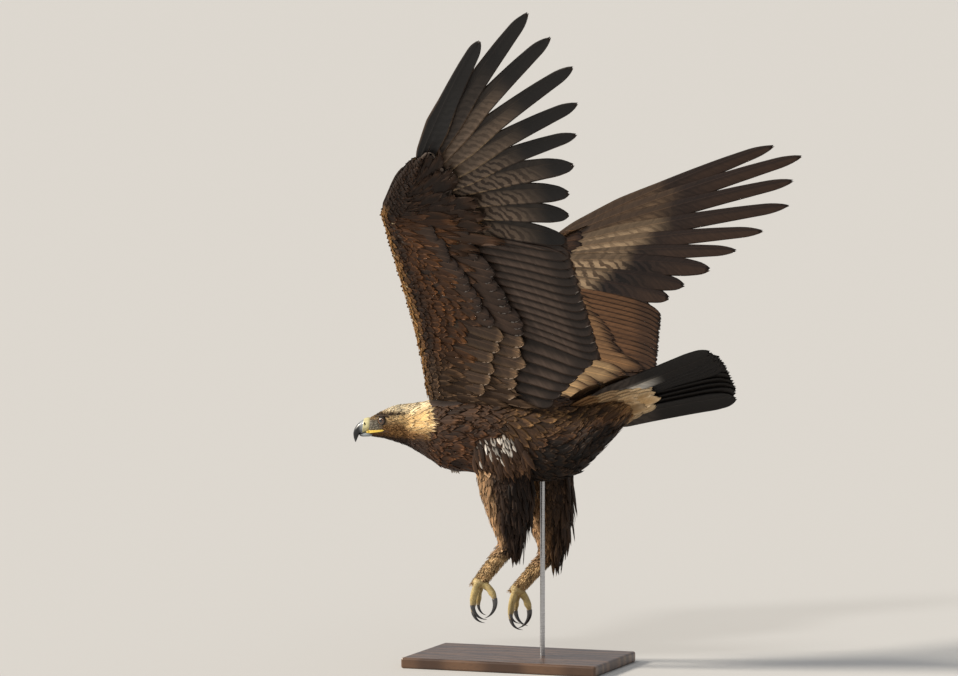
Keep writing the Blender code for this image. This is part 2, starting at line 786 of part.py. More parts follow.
def quills(axes, held):
    """The flight feathers from the outermost in: root, aim, dorsal side, length, width and outline."""
    rows = []
    lengths = [length * held["inner_primaries"] for length in PRIMARY_LENGTHS[:-1]]
    lengths += [PRIMARY_LENGTHS[-1], held["outermost"]]
    for k in range(9, -1, -1):
        share = k / 9
        scale, power = held["fan"]
        aim = turned(axes["trail"], axes["hand_normal"], -axes["fan"] * scale * PRIMARY_FAN[k]**power)
        out = HAND * (PRIMARY_ROOTS[0] + (PRIMARY_ROOTS[1] - PRIMARY_ROOTS[0]) * share)
        root = axes["wrist"] + axes["hand"] * out + axes["trail"] * QUILL_BACK
        rows.append({
            "kind": "primary",
            "root": root,
            "aim": aim,
            "length": lengths[k],
            "width": PRIMARY_WIDTH,
            "outline": FINGER_OUTLINE if k > 3 else PRIMARY_OUTLINE,
        })
    for k in range(SECONDARIES):
        share = k / (SECONDARIES - 1)
        root = axes["wrist"] + (axes["elbow"] - axes["wrist"]) * (0.03 + 0.97 * share)
        rows.append({
            "kind": "secondary",
            "root": root + axes["trail"] * QUILL_BACK,
            "aim": turned(axes["trail"], axes["arm_normal"], held["droop"] * share),
            "length": held["outer"] + (held["inner"] - held["outer"]) * share,
            "width": SECONDARY_WIDTH,
            "outline": SECONDARY_OUTLINE,
        })
    for k in range(TERTIALS):
        share = (k + 1) / TERTIALS
        root = axes["elbow"] + (SHOULDER - axes["elbow"]) * TERTIAL_REACH * share
        rows.append({
            "kind": "tertial",
            "root": root + axes["trail"] * (QUILL_BACK + TERTIAL_BACK * share),
            "aim": turned(axes["trail"], axes["arm_normal"], held["droop"] + TERTIAL_TURN * (k + 1)),
            "length": held["inner"] - TERTIAL_STEP * (k + 1),
            "width": TERTIAL_WIDTH,
            "outline": SECONDARY_OUTLINE,
        })
    for k, row in enumerate(rows):
        blend = min(max((k - TWIST_FROM) / TWIST_OVER, 0.0), 1.0)
        normal = axes["hand_normal"] * (1 - blend) + axes["arm_normal"] * blend
        row["normal"] = unit(normal - row["aim"] * (normal @ row["aim"]))
    return rows


def mirrored(shape, side):
    points, faces = shape
    if side > 0:
        return points, faces
    return [p * np.array([1, -1, 1]) for p in points], [f[::-1] for f in faces]


# Tiers of coverts: which quills they follow, every how many, how far ahead of the quill's root they
# start, how far off it on the dorsal side, their length at the outer and inner end, and width
COVERTS = (
    ("primary", 1, 0.010, 0.0058, 0.120, 0.145, 0.032),
    ("secondary", 1, 0.012, 0.0062, 0.158, 0.148, 0.040),
    ("secondary", 2, 0.032, 0.0115, 0.098, 0.092, 0.050),
    ("primary", 1, 0.010, -0.0058, 0.118, 0.150, 0.032),
    ("secondary", 1, 0.012, -0.0062, 0.165, 0.150, 0.040),
    ("secondary", 2, 0.030, -0.0110, 0.105, 0.095, 0.050),
)
# Feathers of the thumb: how far out along the hand each starts, its length and its height
ALULA = ((0.006, 0.090, 0.0005), (0.014, 0.118, 0.0030), (0.024, 0.145, 0.0055))
ALULA_WIDTH = 0.026
ALULA_AHEAD = 0.024
ALULA_SPREAD = -0.09


def covert_vanes(rows, tier):
    kind, step, ahead, rise, outer, inner, width = tier
    follow = [row for row in rows if row["kind"] == kind]
    if kind == "primary":
        follow = follow[1:]
    follow = follow[::step]
    shapes = []
    for k, row in enumerate(follow):
        length = outer + (inner - outer) * k / (len(follow) - 1)
        root = row["root"] - row["aim"] * ahead + row["normal"] * rise
        shapes.append(vane(root, row["aim"], row["normal"], length, width, COVERT_OUTLINE, tilt=-SHINGLE))
    return shapes


def alula_vanes(axes):
    """The feathers of the thumb, along the front edge of the hand."""
    back = unit(np.cross(axes["hand_normal"], axes["hand"]))
    aim = unit(axes["hand"] - back * ALULA_SPREAD)
    shapes = []
    for out, length, height in ALULA:
        root = axes["wrist"] + axes["hand"] * out - back * ALULA_AHEAD + axes["hand_normal"] * height
        shapes.append(vane(root, aim, axes["hand_normal"], length, ALULA_WIDTH, COVERT_OUTLINE))
    return shapes


def wing_vanes(axes, held):
    rows = quills(axes, held)
    shapes = []
    for row in rows:
        sizes = (row["length"], row["width"], row["outline"])
        shapes.append(vane(row["root"], row["aim"], row["normal"], *sizes, tilt=-SHINGLE))
    for tier in COVERTS:
        shapes += covert_vanes(rows, tier)
    return shapes + alula_vanes(axes)


def add_wing(name, held, home, cutters, banked):
    """A wing as one solid: the fleshy front of arm and hand, and its feathers."""
    axes = wing_axes(held)
    side = held["side"]
    wing = solid(f"wing_{name}", mirrored(wing_core(axes), side), "feather_dark", banked, home)
    join_pieces(wing, [mirrored(shape, side) for shape in wing_vanes(axes, held)], cutters)
    return wing


# Legs
def thigh_point(leg, share, turn):
    """A point on the drumstick, share of the way down it and turned from its front to its outer side."""
    heel = np.array(leg["heel"])
    hip = np.array([heel[0] + HIP_AHEAD, heel[1], HIP_HEIGHT])
    ahead, behind, half_width = at(THIGH_RINGS, share)
    reach = ahead if math.cos(turn) > 0 else behind
    return hip + (heel - hip) * share + np.array([reach * math.cos(turn), half_width * math.sin(turn), 0.0])


def trouser_locks(leg):
    """Long loose feathers that hang down the back and outer side of the drumstick."""
    shapes = []
    for tier, (share, count, first, last, length, width) in enumerate(TROUSERS):
        for k in range(count):
            turn = math.radians(first + (last - first) * (k + 0.5 * (tier % 2)) / (count - 0.5))
            root = thigh_point(leg, share, turn)
            middle = (root + thigh_point(leg, share, turn + math.pi)) / 2
            outward = unit(root - middle)
            below = thigh_point(leg, min(share + 0.2, 1.0), turn)
            slope = unit(below - root)
            lean = 0.18 + 0.34 * share * max(-math.cos(turn), 0.0)
            aim = unit(slope + outward * lean)
            normal = unit(outward - aim * (outward @ aim))
            start = root - outward * LOCK_SINK
            long = length * (0.82 + 0.36 * max(-math.cos(turn), 0.0))
            shapes.append(vane(start, aim, normal, long, width, LOCK_OUTLINE, thickness=LOCK_THICKNESS,
                               tilt=-math.radians(7)))
    return shapes


def add_thigh(name, leg, home, cutters, level):
    """The feathered drumstick, from inside the body down to the heel."""
    rings = []
    for row in THIGH_RINGS:
        rings.append([thigh_point(leg, row[0], 2 * math.pi * k / THIGH_SIDES) for k in range(THIGH_SIDES)])
    thigh = solid(f"thigh_{name}", mirrored(loft(rings), leg["side"]), "feather_dark", level, home)
    join_pieces(thigh, [mirrored(shape, leg["side"]) for shape in trouser_locks(leg)], cutters)
    return thigh


def knuckle(foot, more=0.0):
    """The pad where the toes meet."""
    axes = (np.array([1.0, 0.0, 0.0]), np.array([0.0, 1.0, 0.0]), UP)
    return ball(foot, [size + more for size in KNUCKLE], axes, 14, 8)


def shank(leg, more=0.0):
    heel, foot = np.array(leg["heel"]), np.array(leg["foot"])
    start = heel + np.array([0.0, 0.0, -GAP])
    rings = []
    for t, share in SHANK:
        radius = TARSUS_RADIUS * share + more
        point = start + (foot - start) * t
        rings.append(ring(point, np.array([0.0, 1.0, 0.0]), np.array([1.0, 0.0, 0.0]), radius * 0.92,
                          radius * 1.08, radius * 1.08, 12))
    return loft(rings)


def add_tarsus(name, leg, home, cutters, level):
    """The feathered shank and the pad below it, and the room that they take."""
    foot, side = np.array(leg["foot"]), leg["side"]
    tarsus = solid(f"tarsus_{name}", mirrored(shank(leg), side), "feather_gold", level, home)
    join_pieces(tarsus, [mirrored(knuckle(foot), side)], cutters)
    room = solid(f"tarsus_room_{name}", mirrored(shank(leg, GAP), side), "feather_gold", level, cutters)
    shown(room, False)
    join_pieces(room, [mirrored(knuckle(foot, GAP), side)], cutters)
    return tarsus, room


def digit(start, azimuth, bends, length, steps):
    """Points along a toe or claw whose pitch goes from the first bend to the second."""
    ahead = np.array([math.cos(azimuth), math.sin(azimuth), 0.0])
    path, point = [start], start
    for k in range(steps):
        pitch = bends[0] + (bends[1] - bends[0]) * (k + 0.5) / steps
        point = point + (ahead * math.cos(pitch) + UP * math.sin(pitch)) * length / steps
        path.append(point)
    return path


def add_foot(name, leg, home, level, room):
    foot = np.array(leg["foot"])
    for toe, values in TOES.items():
        sizes = dict(zip(TOE_KEYS, values))
        azimuth = math.radians(sizes["azimuth"])
        bends = [math.radians(b) for b in sizes["bends"] or leg["hind"]]
        side = np.array([-math.sin(azimuth), math.cos(azimuth), 0.0])
        start = foot + np.array([0.0, sizes["beside"], 0.0])
        path = digit(start, azimuth, bends, sizes["length"], len(TOE_SWELL) - 1)
        radii = [sizes["radius"] * share for share in TOE_SWELL]
        shape = mirrored(tube(path, radii, side, TOE_SIDES), leg["side"])
        made = solid(f"toe_{toe}_{name}", shape, "flesh_yellow", level, home)
        cut_by(made, [room])
        last = unit(path[-1] - path[-2])
        start = path[-1] + last * GAP * 1.5
        bends = (bends[1], bends[1] - CLAW_TURN)
        curve = digit(start, azimuth, bends, sizes["claw"], len(CLAW_TAPER) - 1)
        radii = [CLAW_SLIMNESS * sizes["claw"] * share for share in CLAW_TAPER]
        shape = mirrored(tube(curve, radii, side, CLAW_SIDES, last), leg["side"])
        solid(f"claw_{toe}_{name}", shape, "horn", level, home)


# Stand
def add_base(home):
    bm = bmesh.new()
    bmesh.ops.create_cube(bm, size=1.0)
    for v in bm.verts:
        v.co = Vector((v.co.x * BASE_LENGTH, v.co.y * BASE_WIDTH, (v.co.z + 0.5) * BASE_THICKNESS))
    base = solid("stand_base", shape_of(bm), "wood", None, home)
    bevel = base.modifiers.new("edges", "BEVEL")
    bevel.width = BASE_EDGE
    bevel.segments = 2
    bevel.limit_method = "ANGLE"
    apply_modifiers(base)
    return base


def rod(more=0.0):
    """The upright rod, in world axes, from inside the base to inside the body."""
    low = BASE_THICKNESS - SOCKET_DEPTH - more
    high = SHOULDER_HEIGHT + ROD_TOP + more
    middle = Vector((-ROD_AT[0] - BASE_BEHIND_SHOULDERS, -ROD_AT[1], (low + high) / 2))
    radius = ROD_RADIUS + more
    bm = bmesh.new()
    bmesh.ops.create_cone(bm, cap_ends=True, segments=ROD_SIDES, radius1=radius, radius2=radius,
                          depth=high - low, matrix=Matrix.Translation(middle))
    return shape_of(bm)


def main():
    clear()
    home = collection("golden_eagle")
    cutters = collection("cutters")
    shoulders = Matrix.Translation((-BASE_BEHIND_SHOULDERS, 0.0, SHOULDER_HEIGHT))
    level = empty("level", shoulders @ Matrix.Rotation(math.pi, 4, "Z"), home)
    banked = empty("banked", level.matrix_world @ Matrix.Rotation(BANK, 4, "X"), home)
    add_head(home, cutters, level)
    add_bill(home, cutters, level)
    solid("neck", loft(neck_rings()), "feather_gold", level, home)
    neck_room = solid("neck_room", loft(neck_rings(2 * GAP)), "feather_gold", level, cutters)
    shown(neck_room, False)
    torso = solid("torso", loft(torso_rings()), "feather_dark", banked, home)
    swollen = solid("torso_room", loft(torso_rings(GAP)), "feather_dark", banked, cutters)
    shown(swollen, False)
    add_tail(home, cutters, banked)
    for name, held in WINGS.items():
        wing = add_wing(name, held, home, cutters, banked)
        cut_by(wing, [swollen, neck_room])
    for name, leg in LEGS.items():
        thigh = add_thigh(name, leg, home, cutters, level)
        tarsus, room = add_tarsus(name, leg, home, cutters, level)
        cut_by(thigh, [swollen, room])
        add_foot(name, leg, home, level, room)
    solid("stand_rod", rod(), "metal", None, home)
    rod_room = solid("rod_room", rod(GAP), "metal", None, cutters)
    shown(rod_room, False)
    cut_by(add_base(home), [rod_room])
    cut_by(torso, [rod_room])


if __name__ == "__main__":
    main()
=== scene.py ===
"""The looks of a life-size golden eagle in flight, on a plain stand.

The bird's points are worked out as in the solids, in metres: x forward, y left and z up, from the
point midway between the shoulder joints. level() and banked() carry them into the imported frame.
Feathers are meshes, each a thin closed blade, laid on sheets that follow the body and wings.
"""

import math

import bmesh
import bpy
import numpy as np
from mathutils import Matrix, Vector


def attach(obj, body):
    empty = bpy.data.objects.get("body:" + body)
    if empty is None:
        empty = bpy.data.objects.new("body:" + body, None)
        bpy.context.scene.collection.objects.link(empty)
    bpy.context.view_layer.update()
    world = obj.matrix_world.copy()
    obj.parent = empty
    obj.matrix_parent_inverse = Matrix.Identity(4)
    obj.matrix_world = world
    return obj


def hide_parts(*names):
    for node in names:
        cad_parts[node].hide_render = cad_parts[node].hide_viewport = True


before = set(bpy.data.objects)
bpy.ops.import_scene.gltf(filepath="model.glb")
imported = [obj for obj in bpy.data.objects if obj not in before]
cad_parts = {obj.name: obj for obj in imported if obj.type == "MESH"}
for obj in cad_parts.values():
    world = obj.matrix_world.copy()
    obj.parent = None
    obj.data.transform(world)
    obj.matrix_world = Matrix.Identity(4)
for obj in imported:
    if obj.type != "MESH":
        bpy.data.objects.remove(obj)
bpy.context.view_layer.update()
RNG = np.random.default_rng(11)
UP = np.array([0.0, 0.0, 1.0])

# Posture, as in the solids
BANK = math.radians(15)
HEAD_YAW = math.radians(18)
HEAD_AT = np.array([0.170, 0.030, -0.031])
SHOULDERS = np.array([-0.115, 0.0, 0.530])
SHOULDER = np.array([0.030, 0.065, 0.025])
HUMERUS = 0.195
ULNA = 0.225
HAND = 0.170
HAND_AHEAD = math.radians(8)
SHINGLE = math.radians(7)

WINGS = {
    "left": {
        "side": 1,
        "wrist": (0.083, 0.287, 0.327),
        "aim": (-0.591, 0.700, 0.402),
        "trail": (-0.989, 0.082, -0.123),
        "outer": 0.372,
        "inner": 0.305,
        "droop": math.radians(11),
        "fan": (1.05, 1.0),
        "outermost": 0.450,
        "inner_primaries": 1.0,
    },
    "right": {
        "side": -1,
        "wrist": (0.105, 0.282, 0.322),
        "aim": (-0.800, 0.380, 0.450),
        "trail": (-0.972, 0.195, -0.130),
        "outer": 0.385,
        "inner": 0.290,
        "droop": math.radians(0),
        "fan": (1.03, 1.25),
        "outermost": 0.550,
        "inner_primaries": 0.970,
    },
}
PRIMARY_LENGTHS = (0.372, 0.388, 0.405, 0.445, 0.490, 0.538, 0.590, 0.602, 0.608)
PRIMARY_FAN = (0.00, 0.15, 0.27, 0.40, 0.52, 0.62, 0.73, 0.85, 0.95, 1.05)
PRIMARY_WIDTH = 0.052
SECONDARIES = 14
SECONDARY_WIDTH = 0.047
TERTIALS = 6
TERTIAL_WIDTH = 0.055
TERTIAL_TURN = math.radians(-1.5)
TERTIAL_STEP = 0.013
TERTIAL_REACH = 0.90
TERTIAL_BACK = 0.010
QUILL_BACK = 0.012
PRIMARY_ROOTS = (0.06, 0.86)
TWIST_FROM = 2
TWIST_OVER = 16

# Tables of the solids: rows of the head, neck, torso and rump, as in part.py
HEAD_RINGS = (
    (0.030, 0.0040, -0.0345, 0.0135),
    (0.020, 0.0100, -0.0360, 0.0195),
    (0.008, 0.0172, -0.0378, 0.0252),
    (-0.004, 0.0228, -0.0400, 0.0292),
    (-0.018, 0.0298, -0.0442, 0.0330),
    (-0.034, 0.0340, -0.0500, 0.0362),
    (-0.050, 0.0358, -0.0560, 0.0385),
)
NECK_RINGS = (
    (0.104, 0.0080, 0.0075, -0.0970, 0.0430, 0.35),
    (0.085, 0.0030, 0.0110, -0.1070, 0.0520, 0.70),
)
TORSO_RINGS = (
    (0.0652, 0.0, 0.0150, -0.1175, 0.0610),
    (0.045, 0.0, 0.0200, -0.1310, 0.0680),
    (0.020, 0.0, 0.0250, -0.1380, 0.0730),
    (-0.020, 0.0, 0.0300, -0.1400, 0.0780),
    (-0.070, 0.0, 0.0330, -0.1440, 0.0800),
    (-0.120, 0.0, 0.0340, -0.1500, 0.0790),
    (-0.170, 0.0, 0.0320, -0.1540, 0.0750),
    (-0.215, 0.0, 0.0290, -0.1500, 0.0680),
    (-0.255, 0.0, 0.0260, -0.1360, 0.0580),
)
RUMP_RINGS = (
    (-0.280, 0.0, 0.0280, -0.1160, 0.0520),
    (-0.305, 0.0, 0.0330, -0.0930, 0.0450),
    (-0.330, 0.0, 0.0400, -0.0640, 0.0380),
    (-0.352, 0.0, 0.0460, -0.0200, 0.0300),
)
WAIST = 0.58
# Share of the way from shoulder to wrist, front edge, rear edge behind the bones, and thickness
ARM_CORE = (
    (-0.10, -0.045, 0.080, 0.046),
    (0.10, -0.036, 0.070, 0.044),
    (0.30, -0.030, 0.045, 0.040),
    (0.456, -0.028, 0.032, 0.036),
    (0.66, -0.029, 0.036, 0.031),
    (0.84, -0.030, 0.038, 0.027),
    (1.00, -0.028, 0.040, 0.023),
)
HAND_CORE = (
    (0.25, -0.034, 0.046, 0.025),
    (0.50, -0.032, 0.046, 0.023),
    (0.78, -0.027, 0.042, 0.020),
    (1.00, -0.020, 0.028, 0.015),
    (1.16, -0.012, 0.008, 0.008),
)


# Numbers
def unit(v):
    v = np.asarray(v, float)
    return v / np.linalg.norm(v, axis=-1, keepdims=True)


def turned(v, axis, angle):
    """Rows of v turned about rows of axis, right-handed."""
    v, axis = np.asarray(v, float), unit(axis)
    angle = np.asarray(angle, float)[..., None]
    along = axis * (v * axis).sum(-1, keepdims=True)
    return along + (v - along) * np.cos(angle) + np.cross(axis, v) * np.sin(angle)


def smooth(low, high, x):
    t = np.clip((np.asarray(x, float) - low) / (high - low), 0.0, 1.0)
    return t * t * (3 - 2 * t)


def bump(middle, width, x):
    """1 at the middle, falling to 0 a width away."""
    return 1 - smooth(0.0, 1.0, np.abs((np.asarray(x, float) - middle) / width))


def mix(a, b, share):
    share = np.asarray(share, float)[..., None]
    return np.asarray(a, float) * (1 - share) + np.asarray(b, float) * share


def table(rows, t):
    columns = np.array(rows, float).T
    order = np.argsort(columns[0])
    found = [np.interp(t, columns[0][order], column[order]) for column in columns[1:]]
    return found[0] if len(found) == 1 else found


def curve(rows, t, softness=0.03):
    """A table read as a curve with its corners rounded."""
    fine = np.linspace(0, 1, 401)
    values = table(rows, fine)
    reach = max(int(softness * 400), 1)
    padded = np.pad(values, reach, mode="reflect", reflect_type="odd")
    kernel = np.hanning(2 * reach + 1)
    values = np.convolve(padded, kernel / kernel.sum(), mode="valid")
    return np.interp(t, fine, values)


def level_way(v):
    return np.asarray(v, float) * np.array([-1, -1, 1])


def level(p):
    """From the bird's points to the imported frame."""
    return SHOULDERS + level_way(p)


def from_level(p):
    return level_way(p - SHOULDERS)


def roll(v, angle=BANK):
    """Vectors turned about the line of flight, left side up."""
    v = np.asarray(v, float)
    c, s = math.cos(angle), math.sin(angle)
    return np.stack([v[..., 0], v[..., 1] * c - v[..., 2] * s, v[..., 1] * s + v[..., 2] * c], -1)


def banked(p):
    return level(roll(p))


def banked_way(v):
    return level_way(roll(v))


# Pieces
def placed(name, data):
    """A new object for a mesh, light or camera."""
    obj = bpy.data.objects.new(name, data)
    bpy.context.scene.collection.objects.link(obj)
    return obj


def bare_mesh(name, points, faces):
    mesh = bpy.data.meshes.new(name)
    mesh.from_pydata([tuple(p) for p in points], [], faces)
    return mesh


def closed_mesh(name, points, faces):
    """A bare mesh with its faces turned outward."""
    mesh = bare_mesh(name, points, faces)
    bm = bmesh.new()
    bm.from_mesh(mesh)
    bmesh.ops.recalc_face_normals(bm, faces=bm.faces)
    bm.to_mesh(mesh)
    bm.free()
    return mesh


def set_tint(mesh, tint):
    """A colour at each point, or one for all of them, for the finish to read."""
    colours = np.ones((len(mesh.vertices), 4), np.float32)
    colours[:, :3] = np.clip(tint, 0, 1)
    mesh.attributes.new("tint", "FLOAT_COLOR", "POINT").data.foreach_set("color", colours.ravel())


def finish_solid(piece, tint, finish, slot_name, *nodes):
    """Smooth shading, tint and finish for a piece that may replace nodes, attached to the root body."""
    mesh = piece.data
    set_tint(mesh, tint)
    mesh.polygons.foreach_set("use_smooth", np.ones(len(mesh.polygons), bool))
    mesh.materials.clear()
    mesh.materials.append(finish)
    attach(piece, "root")
    if nodes:
        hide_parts(*nodes)


def make_piece(name, points, faces, finish, slot_name, tints, maps=None, values=None):
    """A mesh object of four-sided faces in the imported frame, riding on the one body."""
    points, faces = np.asarray(points, np.float32), np.asarray(faces, np.int32)
    mesh = bpy.data.meshes.new(name)
    mesh.vertices.add(len(points))
    mesh.vertices.foreach_set("co", points.ravel())
    mesh.loops.add(faces.size)
    mesh.loops.foreach_set("vertex_index", faces.ravel())
    mesh.polygons.add(len(faces))
    mesh.polygons.foreach_set("loop_start", np.arange(0, faces.size, faces.shape[1], dtype=np.int32))
    mesh.update(calc_edges=True)
    mesh.polygons.foreach_set("use_smooth", np.ones(len(faces), bool))
    for key, uv in (maps or {}).items():
        layer = mesh.uv_layers.new(name=key)
        layer.uv.foreach_set("vector", np.asarray(uv, np.float32)[faces.ravel()].ravel())
    set_tint(mesh, tints)
    for key, value in (values or {}).items():
        layer = mesh.attributes.new(key, "FLOAT", "POINT")
        layer.data.foreach_set("value", np.asarray(value, np.float32))
    mesh.materials.append(finish)
    piece = placed(name, mesh)
    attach(piece, "root")
    return piece


def loft(rings):
    """Points and faces of a closed tube through rings, its ends closed by fans of quads."""
    rings = np.asarray(rings, float)
    count, around = rings.shape[:2]
    points = np.concatenate([rings.reshape(-1, 3), rings[0].mean(0)[None], rings[-1].mean(0)[None]])
    k = np.arange(around)
    n = (k + 1) % around
    faces = []
    for r in range(count - 1):
        a = r * around
        faces.append(np.stack([a + k, a + n, a + around + n, a + around + k], -1))
    ends = []
    first, last = count * around, count * around + 1
    tail = (count - 1) * around
    for j in range(around):
        ends.append((first, (j + 1) % around, j))
        ends.append((last, tail + j, tail + (j + 1) % around))
    return points, np.concatenate(faces), ends


def solid_object(name, shape):
    """A plain mesh object from a loft."""
    points, quads, ends = shape
    return placed(name, closed_mesh(name, points, [tuple(q) for q in quads] + list(ends)))


def ellipse(centre, across, up, half_width, above, below, count):
    turn = 2 * np.pi * np.arange(count)[:, None] / count
    rise = np.where(np.cos(turn) > 0, above, below)
    return centre + across * half_width * np.sin(turn) + up * rise * np.cos(turn)


def tube_rings(path, radii, side, count, flat=1.0):
    """Rings round a path, side being a direction off it."""
    path, rings = np.asarray(path, float), []
    for k, point in enumerate(path):
        ahead = unit(path[min(k + 1, len(path) - 1)] - path[max(k - 1, 0)])
        across = unit(side - ahead * (ahead @ side))
        rings.append(ellipse(point, across, np.cross(across, ahead), radii[k], radii[k] * flat,
                             radii[k] * flat, count))
    return np.array(rings)


def densified(rings, per_gap, passes):
    """Rings in between rings, with the corners along the tube rounded."""
    rings = np.asarray(rings, float)
    at = np.linspace(0, len(rings) - 1, (len(rings) - 1) * per_gap + 1)
    low = np.minimum(at.astype(int), len(rings) - 2)
    share = (at - low)[:, None, None]
    fine = rings[low] * (1 - share) + rings[low + 1] * share
    for _ in range(passes):
        fine[1:-1] = (fine[:-2] + 2 * fine[1:-1] + fine[2:]) / 4
    return fine


def evened(rings):
    """Each closed ring's points spread evenly along it, from its first point."""
    made = []
    for one in rings:
        closed = np.vstack([one, one[:1]])
        run = np.concatenate([[0], np.cumsum(np.linalg.norm(np.diff(closed, axis=0), axis=1))])
        at = np.linspace(0, run[-1], len(one) + 1)[:-1]
        made.append(np.stack([np.interp(at, run, closed[:, c]) for c in range(3)], -1))
    return np.array(made)


class Sheet:
    """A surface from rows of points: u runs down the rows, v along each, round it where closed."""

    def __init__(self, points, closed, outward):
        self.points, self.closed = np.asarray(points, float), closed
        du = np.gradient(self.points, axis=0)
        if closed:
            dv = (np.roll(self.points, -1, 1) - np.roll(self.points, 1, 1)) / 2
        else:
            dv = np.gradient(self.points, axis=1)
        self.normals = unit(np.cross(du, dv)) * outward
        self.rows, self.columns = self.points.shape[:2]

    def read(self, field, u, v):
        """A field of the grid at u and v, straight between its points and beyond its ends."""
        x = np.asarray(u, float) * (self.rows - 1)
        i = np.clip(np.floor(x).astype(int), 0, self.rows - 2)
        fu = (x - i)[..., None]
        if self.closed:
            y = (np.asarray(v, float) % 1.0) * self.columns
            j = np.floor(y).astype(int) % self.columns
            k = (j + 1) % self.columns
            fv = (y - np.floor(y))[..., None]
        else:
            y = np.asarray(v, float) * (self.columns - 1)
            j = np.clip(np.floor(y).astype(int), 0, self.columns - 2)
            k = j + 1
            fv = (y - j)[..., None]
        low = field[i, j] * (1 - fv) + field[i, k] * fv
        high = field[i + 1, j] * (1 - fv) + field[i + 1, k] * fv
        return low * (1 - fu) + high * fu

    def at(self, u, v):
        return self.read(self.points, u, v), unit(self.read(self.normals, np.clip(u, 0, 1), v))

    def slopes(self, u, v):
        step = 0.004
        du = (self.read(self.points, u + step, v) - self.read(self.points, u - step, v)) / (2 * step)
        dv = (self.read(self.points, u, v + step) - self.read(self.points, u, v - step)) / (2 * step)
        return du, dv

    def scatter(self, sizes, start, end, jitter=0.25):
        """Staggered places over the sheet; a table gives the gap between rows and the gap in a row from u."""
        found, u, row = [], start, 0
        while u < end:
            row_gap, gap = table(sizes, u)[:2]
            ring, _ = self.at(np.full(200, u), np.linspace(0.0, 1.0, 200))
            length = np.linalg.norm(np.diff(ring, axis=0), axis=1).sum()
            count = max(int(length / gap), 3)
            v = (np.arange(count) + 0.5 * (row % 2) + 0.25) / count
            found.append(np.stack([np.full(count, u), v], -1))
            du, _ = self.slopes(np.full(count, u), v)
            u += row_gap / np.linalg.norm(du, axis=1).mean()
            row += 1
        places = np.concatenate(found)
        slopes = self.slopes(places[:, 0], places[:, 1])
        for k, gap in enumerate(table(sizes, 0.5)[:2]):
            step = gap / np.linalg.norm(slopes[k], axis=1)
            places[:, k] += RNG.uniform(-1, 1, len(places)) * jitter * step
        return places[:, 0], places[:, 1]


class Blade:
    """The grid of one feather: shares along and across it, and its faces, closed round the edge."""

    def __init__(self, stations, across):
        stations, across = np.asarray(stations, float), np.asarray(across, float)
        rows, columns = len(stations), len(across)
        top = np.arange(rows * columns).reshape(rows, columns)
        under = top.copy()
        inner = (rows - 2) * (columns - 2)
        under[1:-1, 1:-1] = rows * columns + np.arange(inner).reshape(rows - 2, columns - 2)

        def cells(grid):
            corners = [grid[:-1, :-1], grid[1:, :-1], grid[1:, 1:], grid[:-1, 1:]]
            return np.stack(corners, -1).reshape(-1, 4)

        self.faces = np.concatenate([cells(top), cells(under)[:, ::-1]])
        t, a = np.meshgrid(stations, across, indexing="ij")
        self.t = np.concatenate([t.ravel(), t[1:-1, 1:-1].ravel()])
        self.a = np.concatenate([a.ravel(), a[1:-1, 1:-1].ravel()])
        self.column = np.concatenate([np.tile(np.arange(columns), rows),
                                      np.tile(np.arange(1, columns - 1), rows - 2)])
        self.face = np.concatenate([np.ones(rows * columns), -np.ones(inner)])
        self.columns = columns


FINE = Blade(np.linspace(0, 1, 44) ** 0.9, (-1, -0.8, -0.56, -0.36, -0.28, -0.20, 0.05, 0.35, 0.65, 0.85, 1))
BROAD = Blade((0, 0.1, 0.22, 0.36, 0.5, 0.64, 0.76, 0.86, 0.93, 0.975, 1), (-1, -0.75, -0.4, 0, 0.4, 0.75, 1))
BODY = Blade((0, 0.22, 0.45, 0.66, 0.83, 0.94, 1), (-1, -0.5, 0, 0.5, 1))
SMALL = Blade((0, 0.35, 0.68, 0.9, 1), (-1, 0, 1))


class Coat:
    """Feathers gathered for one piece, of under 200,000 triangles."""

    def __init__(self, name, slot_name, finish):
        self.name, self.slot_name, self.finish = name, slot_name, finish
        self.parts, self.count = [], 0

    def add(self, points, blade, run, beside, bake, tint, bars=None):
        many = len(points)
        faces = blade.faces[None] + (np.arange(many) * len(blade.t))[:, None, None] + self.count
        self.count += many * len(blade.t)
        bars = np.zeros(points.shape[:2]) if bars is None else bars
        vane = np.stack([run, beside], -1)
        self.parts.append((points.reshape(-1, 3), faces.reshape(-1, 4), vane.reshape(-1, 2),
                           bake.reshape(-1, 2), tint.reshape(-1, 3), bars.reshape(-1)))

    def finish_piece(self, *nodes):
        columns = [np.concatenate(column) for column in zip(*self.parts)]
        points, faces, vane, bake, tint, bars = columns
        piece = make_piece(self.name, points, faces, self.finish, self.slot_name, tint,
                           {"vane": vane, "OFBake": bake}, {"bars": bars})
        if nodes:
            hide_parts(*nodes)
        print(f"{self.name}: {2 * len(faces)} triangles")
        return piece


TUFT = 0.003


def patches(u, v, blade, area=(0.0, 0.0, 1.0, 1.0)):
    """Each feather's patch on the bake map, at its root's place on the sheet."""
    x = area[0] + area[2] * np.clip(u, 0.004, 0.992)[:, None] + TUFT * (blade.t - 0.5)
    y = area[1] + area[3] * np.clip(v % 1.0, 0.004, 0.992)[:, None] + TUFT * blade.a / 2
    return np.stack([x, y], -1)


def outline_of(blade, outline, count, jag, softness=0.05):
    """Shares along and across of each feather's points, with a slightly ragged tip."""
    width = curve(outline, blade.t, softness)
    columns = RNG.uniform(-1, 1, (count, blade.columns))[:, blade.column]
    along = blade.t + jag * columns * smooth(0.55, 1.0, blade.t)
    return along, np.broadcast_to(width * blade.a, along.shape)


